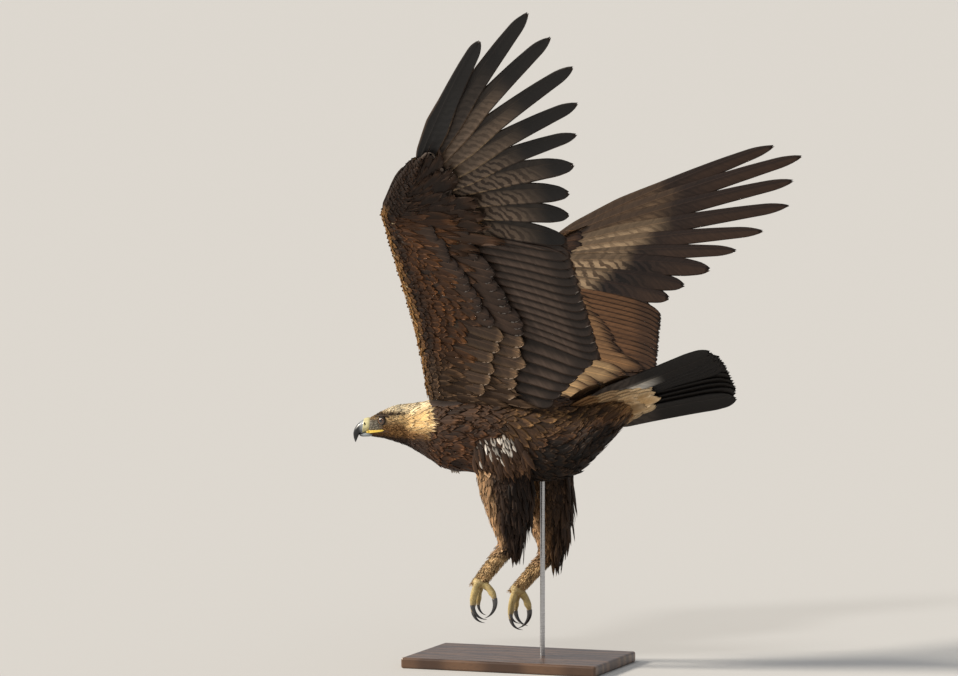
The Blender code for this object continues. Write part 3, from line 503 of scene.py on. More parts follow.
def thick(blade, thickness):
    return blade.face * 0.5 * thickness * (1 - blade.a**2) * smooth(0, 0.08, blade.t) * (1.15 - blade.t)


def lay(sheet, u, v, way, length, width, blade, outline, sink=0.002, lift=0.003, camber=0.12, jag=0.05,
        thickness=0.0007, curl=0.06, softness=0.05):
    """Feathers on a sheet, following it: their points, and their run and breadth in metres."""
    count = len(u)
    du, dv = sheet.slopes(u, v)
    _, normal = sheet.at(u, v)
    way = unit(way - normal * (way * normal).sum(-1, keepdims=True))
    across = np.cross(normal, way)
    along_share, side_share = outline_of(blade, outline, count, jag, softness)
    length, width = np.broadcast_to(length, count)[:, None], np.broadcast_to(width, count)[:, None]
    x = along_share * length
    y = side_share * width / 2 + RNG.normal(0, curl, (count, 1)) * length * blade.t**2
    guu, guv, gvv = (du * du).sum(-1), (du * dv).sum(-1), (dv * dv).sum(-1)
    det = guu * gvv - guv**2
    wu = (du * way).sum(-1)[:, None] * x + (du * across).sum(-1)[:, None] * y
    wv = (dv * way).sum(-1)[:, None] * x + (dv * across).sum(-1)[:, None] * y
    uu = u[:, None] + (gvv[:, None] * wu - guv[:, None] * wv) / det[:, None]
    vv = v[:, None] + (guu[:, None] * wv - guv[:, None] * wu) / det[:, None]
    base, out = sheet.at(uu, vv)
    lift = np.broadcast_to(lift, count)[:, None] * (1 + 0.3 * RNG.normal(0, 1, (count, 1)))
    height = -sink * (1 - blade.t) ** 2 + np.clip(lift, 0.0, None) * blade.t**1.3
    height = height - camber * width / 2 * side_share**2 * smooth(0, 0.3, blade.t)
    height = height + thick(blade, thickness) + RNG.normal(0, 0.0002, (count, 1)) * blade.t
    points = base + out * height[..., None]
    return points, x, side_share * width / 2


def vanes(root, aim, normal, length, width, blade, outline, tilt=0.0, camber=0.06, sag=0.0, sweep=0.0,
          thickness=0.0012, jag=0.01, shaft=-0.28, shaft_height=0.0007, softness=0.04, ripple=0.0):
    """Free feathers: their points, and their run and breadth from the shaft in metres."""
    count = len(root)
    aim = unit(aim)
    normal = unit(normal - aim * (normal * aim).sum(-1, keepdims=True))
    across = np.cross(normal, aim)
    tilt = np.broadcast_to(tilt, count)
    across, normal = turned(across, aim, tilt), turned(normal, aim, tilt)
    length, width = np.broadcast_to(length, count)[:, None], np.broadcast_to(width, count)[:, None]
    sag, sweep = np.broadcast_to(sag, count)[:, None], np.broadcast_to(sweep, count)[:, None]
    along_share, side_share = outline_of(blade, outline, count, jag, softness)
    x = along_share * length
    arch = 4 * blade.t * (1 - blade.t)
    y = side_share * width / 2 + sweep * length * arch
    z = sag * length * arch - camber * width / 2 * side_share**2 + thick(blade, thickness)
    z = z + blade.face * shaft_height * bump(0, 0.06, blade.a - shaft) * (1.1 - blade.t)
    if ripple:
        phase = RNG.uniform(0, 2 * np.pi, (count, 1))
        z = z + ripple * np.sin(blade.t * 9 + phase) * np.abs(side_share) * blade.t
    points = root[:, None] + aim[:, None] * x[..., None] + across[:, None] * y[..., None]
    points = points + normal[:, None] * z[..., None]
    return points, x, (side_share - shaft) * width / 2


# Finishes
class Nodes:
    """A material and short ways to add its nodes."""

    def __init__(self, name, **sockets):
        self.material = bpy.data.materials.new(name)
        self.material.use_nodes = True
        self.tree = self.material.node_tree
        self.shader = self.tree.nodes["Principled BSDF"]
        for key, value in sockets.items():
            self.shader.inputs[key.replace("_", " ")].default_value = value

    def add(self, kind, values=None, **settings):
        node = self.tree.nodes.new("ShaderNode" + kind)
        for key, value in settings.items():
            setattr(node, key, value)
        for key, value in (values or {}).items():
            if isinstance(value, bpy.types.NodeSocket):
                self.tree.links.new(value, node.inputs[key])
            else:
                node.inputs[key].default_value = value
        return node

    def math(self, operation, a, b=0.0, c=0.0, clamp=False):
        return self.add("Math", {0: a, 1: b, 2: c}, operation=operation, use_clamp=clamp).outputs[0]

    def blend(self, share, a, b, how="MIX"):
        node = self.add("Mix", {0: share, 6: a, 7: b}, data_type="RGBA", blend_type=how)
        return node.outputs[2]

    def span(self, value, low, high, to_low=0.0, to_high=1.0):
        values = {"Value": value, "From Min": low, "From Max": high, "To Min": to_low, "To Max": to_high}
        return self.add("MapRange", values, interpolation_type="SMOOTHSTEP").outputs[0]

    def noise(self, vector, scale, detail=3.0, rough=0.55, warp=0.0):
        values = {"Vector": vector, "Scale": scale, "Detail": detail, "Roughness": rough, "Distortion": warp}
        return self.add("TexNoise", values).outputs["Fac"]

    def combine(self, x, y=0.0, z=0.0):
        return self.add("CombineXYZ", {0: x, 1: y, 2: z}).outputs[0]

    def scaled(self, *pairs):
        """A vector of sockets, each times its factor."""
        return self.combine(*(self.math("MULTIPLY", socket, factor) for socket, factor in pairs))

    def place(self):
        return self.add("TexCoord").outputs["Object"]

    def tint(self):
        return self.add("Attribute", attribute_name="tint").outputs["Color"]

    def lit(self, colour, light):
        """A colour made lighter or darker by a socket's value."""
        shade = self.add("CombineColor", {0: light, 1: light, 2: light}).outputs[0]
        return self.blend(1.0, colour, shade, "MULTIPLY")

    def times(self, colour, tone):
        return self.blend(1.0, colour, rgba(tone), "MULTIPLY")

    def colour(self, socket):
        self.tree.links.new(socket, self.shader.inputs["Base Color"])

    def rough(self, socket):
        self.tree.links.new(socket, self.shader.inputs["Roughness"])

    def relief(self, height, distance, strength=0.6):
        node = self.add("Bump", {"Height": height, "Distance": distance, "Strength": strength})
        self.tree.links.new(node.outputs[0], self.shader.inputs["Normal"])


def rgba(colour):
    return (*colour, 1.0)


def feather_finish(name, roughness, barb_contrast, shaft_width, shaft_tone, shine):
    """Feathers take their tint from the tint functions, painted light and shade among it; barbs, shaft and
    bars come from the vane map.
    """
    made = Nodes(name, Roughness=roughness, Specular_IOR_Level=shine)
    bars = made.add("Attribute", attribute_name="bars").outputs["Fac"]
    run, beside, _ = made.add("SeparateXYZ", {0: made.add("UVMap", uv_map="vane").outputs[0]}).outputs
    off = made.math("ABSOLUTE", beside)
    slant = made.math("SUBTRACT", run, made.math("MULTIPLY", off, 1.1))
    barbs = made.noise(made.scaled((slant, 900.0), (beside, 60.0)), 1.0)
    clumps = made.noise(made.scaled((slant, 170.0), (beside, 30.0)), 1.0)
    both = made.math("ADD", made.math("MULTIPLY", barbs, 0.55), made.math("MULTIPLY", clumps, 0.45))
    colour = made.lit(made.tint(), made.span(both, 0.30, 0.70, 1.0 - barb_contrast, 1.0 + barb_contrast))
    wander = made.math("MULTIPLY", made.noise(made.scaled((run, 34.0), (beside, 45.0)), 1.0), 14.0)
    wave = made.math("SINE", made.math("ADD", made.math("MULTIPLY", slant, 260.0), wander))
    dark = made.math("MULTIPLY", made.span(wave, -0.15, 0.65), bars)
    colour = made.blend(dark, colour, made.times(colour, (0.16, 0.13, 0.12)))
    shaft = made.span(off, shaft_width, shaft_width * 0.35)
    made.colour(made.blend(made.math("MULTIPLY", shaft, 0.75), colour, made.times(colour, shaft_tone)))
    made.relief(made.math("ADD", barbs, made.math("MULTIPLY", shaft, 1.5)), 0.0005, 0.5)
    return made.material


def tinted(name, roughness, scale, relief, contrast=0.18, **sockets):
    """A finish over the tint of the tint functions, painted light and shade among it."""
    made = Nodes(name, Roughness=roughness, **sockets)
    wander = made.noise(made.place(), scale, 4.0)
    made.colour(made.lit(made.tint(), made.span(wander, 0.3, 0.7, 1 - contrast, 1 + contrast)))
    made.relief(wander, relief)
    return made.material


def scaly(name):
    """Toe skin: pale yellow scales with darker lines between them."""
    made = Nodes(name, Roughness=0.42)
    place = made.place()
    cells = made.add("TexVoronoi", {"Vector": place, "Scale": 420.0}, feature="DISTANCE_TO_EDGE").outputs[0]
    line = made.span(cells, 0.0, 0.12)
    colour = made.lit(made.tint(), made.span(made.noise(place, 60.0, 4.0), 0.3, 0.7, 0.8, 1.15))
    made.colour(made.blend(line, made.times(colour, (0.55, 0.42, 0.30)), colour))
    made.relief(line, 0.0005, 0.8)
    return made.material


def wood(name):
    """Satin walnut with its grain along the base."""
    made = Nodes(name, Roughness=0.38, Coat_Weight=0.25, Coat_Roughness=0.2)
    x, y, z = made.add("SeparateXYZ", {0: made.place()}).outputs
    warp = made.math("MULTIPLY", made.noise(made.scaled((x, 3.0), (y, 9.0), (z, 1.0)), 1.0), 26.0)
    rings = made.math("SINE", made.math("ADD", made.math("MULTIPLY", y, 150.0), warp))
    pores = made.noise(made.scaled((x, 60.0), (y, 1500.0), (z, 1500.0)), 1.0, 2.0)
    colour = made.blend(made.span(rings, -1.0, 1.0), rgba((0.060, 0.028, 0.014)), rgba((0.150, 0.078, 0.040)))
    made.colour(made.blend(made.span(pores, 0.56, 0.70, 0.0, 0.7), colour, rgba((0.022, 0.011, 0.007))))
    made.rough(made.span(pores, 0.5, 0.7, 0.34, 0.55))
    made.relief(pores, 0.0002, 0.4)
    return made.material


def steel(name):
    """Brushed steel, its fine lines round the rod."""
    made = Nodes(name, Metallic=1.0, Roughness=0.3)
    x, y, z = made.add("SeparateXYZ", {0: made.place()}).outputs
    lines = made.noise(made.scaled((x, 40.0), (y, 40.0), (z, 2600.0)), 1.0)
    made.colour(made.blend(made.span(lines, 0.3, 0.7), rgba((0.36, 0.36, 0.37)), rgba((0.62, 0.62, 0.63))))
    made.rough(made.span(lines, 0.3, 0.7, 0.22, 0.42))
    made.relief(lines, 0.0001, 0.3)
    return made.material


CONTOUR = feather_finish("contour_feather", 0.66, 0.30, 0.0005, (0.7, 0.62, 0.55), 0.16)
FLIGHT = feather_finish("flight_feather", 0.50, 0.26, 0.0012, (2.0, 1.85, 1.65), 0.20)

# Colours of the plumage, as the photograph shows them
RUFOUS = (0.150, 0.058, 0.020)
BROWN = (0.052, 0.026, 0.014)
DARK = (0.026, 0.014, 0.009)
BLACK = (0.009, 0.007, 0.006)
PALE = (0.62, 0.58, 0.52)


def head_place(p):
    """Ahead of the eyes, left of the middle and above the eyes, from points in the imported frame."""
    bird = from_level(p) - HEAD_AT
    c, s = math.cos(HEAD_YAW), math.sin(HEAD_YAW)
    return bird[..., 0] * c + bird[..., 1] * s, bird[..., 1] * c - bird[..., 0] * s, bird[..., 2]


def paint(tints, share, ground, rim, rim_share=None):
    """A pair of ground and rim colours with another pair laid over it, by its share at each place."""
    rim_share = share if rim_share is None else rim_share
    return mix(tints[0], ground, share), mix(tints[1], rim, rim_share)


def trunk_tints_and_shade(p):
    """The ground colour and the rim colour of the trunk's feathers, from their roots, with painted shade
    under the belly.
    """
    x, _, z = head_place(p)
    bird = from_level(p)
    back, height = -bird[..., 0], bird[..., 2]
    level_off = height - math.tan(BANK) * bird[..., 1]
    tints = (0.036, 0.018, 0.010), (0.095, 0.048, 0.024)
    # breast and foreneck, darker, with rusty rims
    below = smooth(-0.03, -0.09, level_off)
    tints = paint(tints, below, DARK, RUFOUS, below * 0.7)
    # the flank below the wing, dark with golden tips
    flank = smooth(0.04, 0.10, back) * bump(-0.030, 0.055, level_off)
    tints = paint(tints, flank, (0.040, 0.020, 0.010), (0.24, 0.130, 0.052))
    # the belly and vent: deep brown, darkened nearly to black as painted shade under the body
    belly = smooth(0.05, 0.13, back) * smooth(-0.060, -0.095, level_off)
    tints = paint(tints, belly, BLACK, (0.050, 0.026, 0.013))
    # under the tail, buff
    under_tail = smooth(0.275, 0.340, back) * smooth(-0.085, -0.055, level_off)
    tints = paint(tints, under_tail, (0.13, 0.060, 0.022), (0.42, 0.24, 0.10))
    # neck: golden behind the cheeks, ending in a ragged edge on the dark back
    upper = smooth(-0.030, -0.004, z - 0.25 * (x + 0.04))
    nape = smooth(-0.080, -0.070, x + 0.10 * z) * upper
    tints = paint(tints, nape, (0.66, 0.42, 0.17), (0.95, 0.76, 0.46))
    sides = smooth(-0.080, -0.062, x) * smooth(-0.052, -0.026, z) * (1 - upper)
    tints = paint(tints, sides, (0.150, 0.070, 0.025), (0.38, 0.205, 0.070))
    # crown
    crown = smooth(-0.075, -0.050, x) * smooth(0.008, 0.020, z) * smooth(0.022, 0.004, x)
    tints = paint(tints, crown * 0.85, (0.84, 0.68, 0.42), (0.98, 0.90, 0.70), crown)
    forehead = smooth(-0.004, 0.014, x) * smooth(0.000, 0.008, z)
    tints = paint(tints, forehead, (0.22, 0.125, 0.052), (0.42, 0.27, 0.12))
    # a dark streak from the brow backwards
    streak = bump(0.0105 - 0.12 * x, 0.0075, z) * smooth(-0.040, -0.018, x) * smooth(0.022, 0.014, x)
    tints = paint(tints, streak, DARK, BROWN)
    # cheek, then the throat
    cheek = bump(-0.020, 0.024, x) * bump(-0.012, 0.022, z)
    tints = paint(tints, cheek, (0.140, 0.068, 0.026), (0.34, 0.185, 0.068))
    round_eye = bump(0.0, 0.0165, np.hypot(x, z * 1.1))
    tints = paint(tints, round_eye, (0.050, 0.030, 0.018), (0.105, 0.062, 0.034))
    throat = smooth(-0.024, -0.036, z) * smooth(-0.085, -0.055, x)
    tints = paint(tints, throat, DARK, BROWN)
    # lores and under the eye, pale grey
    lores = smooth(0.002, 0.014, x) * smooth(0.003, -0.004, z) * smooth(-0.026, -0.018, z)
    tints = paint(tints, lores, (0.17, 0.150, 0.115), (0.34, 0.31, 0.25))
    return tints


# The directions and starts of the waves that make the soft patches
CLOUD_WAYS = np.array(
    ((1.0, 0.3, -0.5), (-0.4, 0.9, 0.6), (0.5, -0.7, 1.0), (0.9, 0.8, 0.2), (-0.7, 0.1, 1.1))
)
CLOUD_STARTS = np.array((0.3, 1.9, 3.1, 4.4, 5.2))


def cloud(p, size, strength):
    """Soft light and dark patches about a size across."""
    waves = np.sin(p @ CLOUD_WAYS.T * (2 * np.pi / size) + CLOUD_STARTS)
    return 1 + strength * waves.sum(-1) / 2.2


def edged(blade, ground, rim, share=1.0, wide=0.35, base=0.75, vary=0.14):
    """A feather's tints: its ground, darker at the root as painted shade where the next feathers lie over it,
    with a rim along its edge and tip.
    """
    count = len(ground)
    edge = np.maximum(smooth(wide, 0.95, np.abs(blade.a)) * smooth(0.2, 0.6, blade.t),
                      smooth(0.80, 0.97, blade.t))
    edge = edge[None] * share * RNG.uniform(0.5, 1.0, (count, 1))
    tint = mix(ground[:, None], rim[:, None], edge)
    # painted shade towards the root, where the next feathers lie over it
    light = (base + (1 - base) * smooth(0.1, 0.6, blade.t))[None]
    light = light * RNG.normal(1.0, vary, (count, 1)).clip(0.5, 1.6)
    return tint * light[..., None]


# Trunk
def in_head(x, y, z):
    c, s = math.cos(HEAD_YAW), math.sin(HEAD_YAW)
    fore, left = np.array([c, s, 0.0]), np.array([-s, c, 0.0])
    x, y, z = (np.asarray(part, float)[..., None] for part in (x, y, z))
    return HEAD_AT + fore * x + left * y + UP * z


HEAD_LEFT = in_head(0, 1, 0) - in_head(0, 0, 0)
HEAD_FORE = in_head(1, 0, 0) - in_head(0, 0, 0)
AROUND = 96


def trunk_ring(row, angle):
    forward, left, top, bottom, half_width = row[:5]
    across = np.array([0.0, math.cos(angle), math.sin(angle)])
    up = np.array([0.0, -math.sin(angle), math.cos(angle)])
    waist = bottom + WAIST * (top - bottom)
    centre = np.array([forward, left, 0.0]) + up * waist
    return ellipse(centre, across, up, half_width, top - waist, waist - bottom, AROUND)


def trunk_rings():
    """Rings from the bill's base to the root of the tail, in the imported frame."""
    rings = []
    for x, top, bottom, half_width in HEAD_RINGS:
        waist = bottom + WAIST * (top - bottom)
        centre = in_head(x, 0, waist)
        rings.append(ellipse(centre, HEAD_LEFT, UP, half_width, top - waist, waist - bottom, AROUND))
    rings += [trunk_ring(row, BANK * row[5]) for row in NECK_RINGS]
    rings += [trunk_ring(row, BANK) for row in TORSO_RINGS]
    for k, row in enumerate(RUMP_RINGS):
        rings.append(trunk_ring(row, BANK + TAIL_TWIST * (k + 1) / len(RUMP_RINGS)))
    return evened(densified(level(np.array(rings)), 8, 10))


TAIL_TWIST = math.radians(32)
# Along the trunk: gap between rows, gap in a row, length and width of the feathers, how far their tips
# stand off, and how deep the skin lies below the tips
TRUNK_SIZES = (
    (0.00, 0.0015, 0.0016, 0.0050, 0.0021, 0.0006, 0.0012),
    (0.05, 0.0019, 0.0020, 0.0068, 0.0029, 0.0007, 0.0016),
    (0.12, 0.0026, 0.0028, 0.0095, 0.0044, 0.0010, 0.0020),
    (0.20, 0.0034, 0.0034, 0.0185, 0.0056, 0.0014, 0.0028),
    (0.28, 0.0046, 0.0042, 0.0300, 0.0072, 0.0020, 0.0038),
    (0.36, 0.0066, 0.0056, 0.0400, 0.0115, 0.0024, 0.0050),
    (0.46, 0.0090, 0.0074, 0.0460, 0.0165, 0.0026, 0.0055),
    (0.62, 0.0120, 0.0092, 0.0600, 0.0210, 0.0030, 0.0065),
    (1.00, 0.0130, 0.0100, 0.0700, 0.0230, 0.0034, 0.0070),
)
# The trunk's pieces: name, slot, and where they start and end along it
TRUNK_COATS = (
    ("feathers_face", "nape_feathers", 0.0, 0.10),
    ("feathers_head", "nape_feathers", 0.10, 0.31),
    ("feathers_neck", "nape_feathers", 0.31, 0.44),
    ("feathers_breast", "body_feathers", 0.44, 0.62),
    ("feathers_body", "body_feathers", 0.62, 1.0),
)
# Half widths along a feather
ROUND_TIP = ((0, 0.30), (0.3, 0.85), (0.6, 1.0), (0.85, 0.80), (0.96, 0.42), (1, 0.10))
LANCE = ((0, 0.35), (0.3, 0.90), (0.55, 1.0), (0.78, 0.74), (0.92, 0.38), (1, 0.05))
HACKLE = ((0, 0.50), (0.3, 1.0), (0.55, 0.85), (0.8, 0.48), (1, 0.03))


def trunk_sheet():
    rings = trunk_rings()
    outer = Sheet(rings, True, -1)
    depth = table(TRUNK_SIZES, np.linspace(0, 1, len(rings)))[5]
    return Sheet(rings - outer.normals * depth[:, None, None], True, -1)


EYE_RADIUS = 0.0105
EYE_LEFT = 0.0185
EYE_AIM = math.radians(65)


def eye_frame(side):
    """The middle of an eye and the way it looks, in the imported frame."""
    axis = HEAD_FORE * math.cos(EYE_AIM) + HEAD_LEFT * math.sin(EYE_AIM) * side
    return level(in_head(0.0, EYE_LEFT * side, 0.0)), level_way(axis)


def lay_trunk(sheet, coats):
    """Feathers over head, neck and body, into coats by how far along they are."""
    u, v = sheet.scatter(TRUNK_SIZES, 0.0, 0.985)
    roots, _ = sheet.at(u, v)
    du, _ = sheet.slopes(u, v)
    ground, rim = trunk_tints_and_shade(roots)
    hx, _, hz = head_place(roots)
    mouth = (hx > -0.006) & (np.abs(hz + 0.0226) < 0.0017)
    clear = np.ones(len(u), bool)
    for side in (1, -1):
        middle, axis = eye_frame(side)
        front = middle + axis * EYE_RADIUS * 0.7
        clear &= np.linalg.norm(roots + unit(du) * 0.002 - front, axis=1) > 0.0100
    keep = clear & ~mouth
    u, v, roots, du, ground, rim = (part[keep] for part in (u, v, roots, du, ground, rim))
    _, _, length, width, lift, _ = table(TRUNK_SIZES, u)
    length = length * RNG.uniform(0.85, 1.15, len(u))
    hackles = smooth(0.16, 0.26, u) * smooth(0.44, 0.36, u) > 0.5
    bird = from_level(roots)
    back, level_off = -bird[:, 0], bird[:, 2] - math.tan(BANK) * bird[:, 1]
    # over the thighs the feathers hang down and back
    over_thigh = bump(0.105, 0.060, back) * smooth(-0.015, -0.060, level_off)
    over_thigh = over_thigh * smooth(0.02, 0.05, np.abs(bird[:, 1]))
    du = unit(du) + np.array([0.0, 0.0, -1.0]) * (over_thigh * 1.3)[:, None]
    for coat, low, high in coats:
        chosen = (u >= low) & (u < high)
        tip = HACKLE if low < 0.4 else LANCE
        for outline, blade, kind in ((tip, BODY, hackles | (u > 0.55)),
                                     (ROUND_TIP, BODY if low > 0.1 else SMALL, ~hackles & (u <= 0.55))):
            some = chosen & kind
            if not some.any():
                continue
            points, run, beside = lay(sheet, u[some], v[some], du[some], length[some], width[some], blade,
                                      outline, sink=0.0006, lift=lift[some], jag=0.09, curl=0.06,
                                      thickness=0.0004, camber=0.16)
            tint = edged(blade, ground[some], rim[some], 0.9)
            tint = tint * cloud(roots[some], 0.034, 0.12 if low < 0.4 else 0.42)[:, None, None]
            coat.add(points, blade, run, beside, patches(u[some], v[some], blade), tint)


# Skin
def wing_frame(held):
    """The joints of a left wing, the directions of its feathers, and the dorsal side of arm and hand."""
    wrist = np.array(held["wrist"])
    span = unit(wrist - SHOULDER)
    trail = unit(held["trail"])
    chord = unit(trail - span * (trail @ span))
    reach = float(np.linalg.norm(wrist - SHOULDER))
    along = (HUMERUS**2 - ULNA**2 + reach**2) / (2 * reach)
    bend = math.sqrt(max(HUMERUS**2 - along**2, 0.0))
    aim = unit(held["aim"])
    hand_normal = unit(np.cross(aim, trail))
    fan = math.acos(float(trail @ aim))
    return {
        "wrist": wrist,
        "elbow": SHOULDER + span * along + chord * bend,
        "elbow_share": along / reach,
        "elbow_bend": bend,
        "span": span,
        "trail": trail,
        "chord": chord,
        "reach": reach,
        "fan": fan,
        "hand": turned(trail, hand_normal, -(fan + HAND_AHEAD)),
        "hand_normal": hand_normal,
        "arm_normal": unit(np.cross(span, trail)),
    }


def bones_behind(axes, share):
    peak = axes["elbow_share"]
    return axes["elbow_bend"] * (max(share, 0.0) / peak if share < peak else max(1 - share, 0) / (1 - peak))


# How far back from the front edge of the wing's flesh, and how high above and below
UPPER_SIDE = (
    (0, 0), (0.03, 0.16), (0.08, 0.30), (0.18, 0.44), (0.30, 0.50), (0.46, 0.45), (0.62, 0.36), (1, 0.06)
)
UNDER_SIDE = (
    (0, 0), (0.03, 0.15), (0.08, 0.26), (0.18, 0.37), (0.30, 0.42), (0.46, 0.38), (0.62, 0.30), (1, 0.05)
)
WING_SKIN_DEPTH = 0.0025


def arm_section(axes, share):
    """At a share of the arm: the front edge, the way back, the dorsal side, how far behind the edge the
    bones lie, chord and thickness."""
    front, rear, deep = table(ARM_CORE, share)
    behind = bones_behind(axes, share)
    start = SHOULDER + axes["span"] * axes["reach"] * share + axes["chord"] * front
    return start, axes["chord"], axes["arm_normal"], behind - front, rear + behind - front, deep


def hand_section(axes, share):
    """The same at a share of the hand."""
    front, rear, deep = table(HAND_CORE, share)
    blend = 0.6 + 0.4 * float(smooth(0, 1, share * 1.4))
    back = unit(np.cross(axes["hand_normal"], axes["hand"]))
    back = unit(axes["chord"] * (1 - blend) + back * blend)
    normal = unit(axes["arm_normal"] * (1 - blend) + axes["hand_normal"] * blend)
    start = axes["wrist"] + axes["hand"] * HAND * share + back * front
    return start, back, normal, -front, rear - front, deep


def wing_flesh(axes, side):
    """The flesh of a wing, a skin's depth inside its solid."""
    share = np.concatenate([np.linspace(0, 1, 15), np.linspace(1, 0, 15)[1:-1]])
    profile = np.where(np.arange(len(share)) < 15, table(UPPER_SIDE, share), -table(UNDER_SIDE, share))
    sections = [arm_section(axes, at) for at in np.linspace(-0.10, 1.0, 34)]
    sections += [hand_section(axes, at) for at in np.linspace(0.10, 1.16, 18)]
    rings = []
    for start, back, normal, _, chord, deep in sections:
        run = WING_SKIN_DEPTH * 1.2 + (chord - 2.5 * WING_SKIN_DEPTH) * share
        height = max(deep - 2 * WING_SKIN_DEPTH, 0.004) * profile
        rings.append(start + back * run[:, None] + normal * height[:, None])
    return loft(banked(densified(rings, 1, 6) * np.array([1, side, 1])))


LEGS = {
    "left": {
        "side": 1,
        "heel": (-0.110, 0.050, -0.279),
        "foot": (-0.050, 0.052, -0.355),
        "hind": (-14, -74),
    },
    "right": {
        "side": -1,
        "heel": (-0.163, 0.050, -0.305),
        "foot": (-0.095, 0.052, -0.380),
        "hind": (-46, -80),
    },
}
TOES = {
    "inner": (12, 0.0138, (-62, -92), 0.050, 0.0064, 0.046),
    "middle": (0, 0.0, (-56, -96), 0.066, 0.0064, 0.038),
    "outer": (-16, -0.0138, (-64, -92), 0.052, 0.0060, 0.032),
    "hind": (176, 0.006, None, 0.050, 0.0074, 0.052),
}
TOE_SWELL = ((0, 0.95), (0.25, 1.0), (0.5, 0.94), (0.75, 0.94), (1, 0.60))
CLAW_TAPER = ((0, 1.0), (0.17, 0.90), (0.33, 0.74), (0.5, 0.56), (0.67, 0.38), (0.83, 0.20), (1, 0.05))
CLAW_TURN = math.radians(88)
CLAW_SLIMNESS = 0.1
KNUCKLE = (0.0150, 0.0205, 0.0130)
TARSUS_RADIUS = 0.0125
SHANK = ((0.0, 1.30), (0.25, 1.15), (0.6, 0.98), (0.9, 0.92), (1.0, 0.85))
THIGH_RINGS = (
    (0.00, 0.058, 0.062, 0.038),
    (0.25, 0.060, 0.060, 0.043),
    (0.50, 0.052, 0.056, 0.042),
    (0.72, 0.038, 0.046, 0.034),
    (0.88, 0.026, 0.032, 0.024),
    (1.00, 0.017, 0.020, 0.0165),
)
HIP_HEIGHT = -0.085
HIP_AHEAD = 0.012
# How far the skin and the coat's sheet lie inside the leg's solids
LEG_SKIN_DEPTH = 0.005
LEG_SHEET_DEPTH = 0.0035


def leg_rings(leg, less, around=40):
    """Rings down the drumstick and shank, from inside the body to the foot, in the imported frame."""
    heel, foot = np.array(leg["heel"]), np.array(leg["foot"])
    hip = np.array([heel[0] + HIP_AHEAD, heel[1], HIP_HEIGHT])
    turn = 2 * np.pi * np.arange(around)[:, None] / around
    rings = []
    for share in np.linspace(0, 1, 14):
        ahead, behind, half_width = table(THIGH_RINGS, share)
        reach = np.where(np.cos(turn) > 0, ahead, behind) - less
        centre = hip + (heel - hip) * share
        rings.append(centre + np.array([1.0, 0, 0]) * reach * np.cos(turn)
                     + np.array([0, 1.0, 0]) * (half_width - less) * np.sin(turn))
    for share in np.linspace(0.12, 1, 10):
        radius = TARSUS_RADIUS * table(SHANK, share) - less * 0.5
        centre = heel + (foot - heel) * share
        rings.append(centre + np.array([1.0, 0, 0]) * radius * 1.08 * np.cos(turn)
                     + np.array([0, 1.0, 0]) * radius * 0.92 * np.sin(turn))
    rings = densified(rings, 2, 4)
    return level(rings * np.array([1, leg["side"], 1]))


def ball(centre, axes, radii, segments=48, rings=32):
    bm = bmesh.new()
    bmesh.ops.create_uvsphere(bm, u_segments=segments, v_segments=rings, radius=1.0)
    local = np.array([v.co for v in bm.verts])
    faces = [tuple(v.index for v in face.verts) for face in bm.faces]
    bm.free()
    points = centre + sum(local[:, k:k + 1] * radii[k] * np.asarray(axes[k]) for k in range(3))
    return points, local, faces


def boolean(obj, other, operation):
    modifier = obj.modifiers.new("join", "BOOLEAN")
    modifier.operation, modifier.object, modifier.solver = operation, other, "EXACT"
    graph = bpy.context.evaluated_depsgraph_get()
    made = bpy.data.meshes.new_from_object(obj.evaluated_get(graph))
    obj.modifiers.clear()
    old = obj.data
    obj.data = made
    bpy.data.meshes.remove(old)
    bpy.data.objects.remove(other)


def add_skin(sheet):
    """One closed skin under the coat, from the bill's base to the tail, wing tips and feet."""
    skin = solid_object("skin", loft(sheet.points))
    for held in WINGS.values():
        boolean(skin, solid_object("wing_flesh", wing_flesh(wing_frame(held), held["side"])), "UNION")
    for leg in LEGS.values():
        boolean(skin, solid_object("leg_flesh", loft(leg_rings(leg, LEG_SKIN_DEPTH))), "UNION")
    for side in (1, -1):
        middle, axis = eye_frame(side)
        across = unit(np.cross(axis, UP))
        points, _, faces = ball(middle, (across, np.cross(axis, across), axis), [EYE_RADIUS + 0.0002] * 3)
        boolean(skin, placed("socket", bare_mesh("socket", points, faces)), "DIFFERENCE")
    ground, _ = trunk_tints_and_shade(np.array([v.co for v in skin.data.vertices]))
    finish_solid(skin, ground * 0.8, tinted("skin", 0.6, 300.0, 0.0006), "body_feathers", "head", "neck",
                 "torso", "tail", "wing_left", "wing_right", "thigh_left", "thigh_right", "tarsus_left",
                 "tarsus_right")


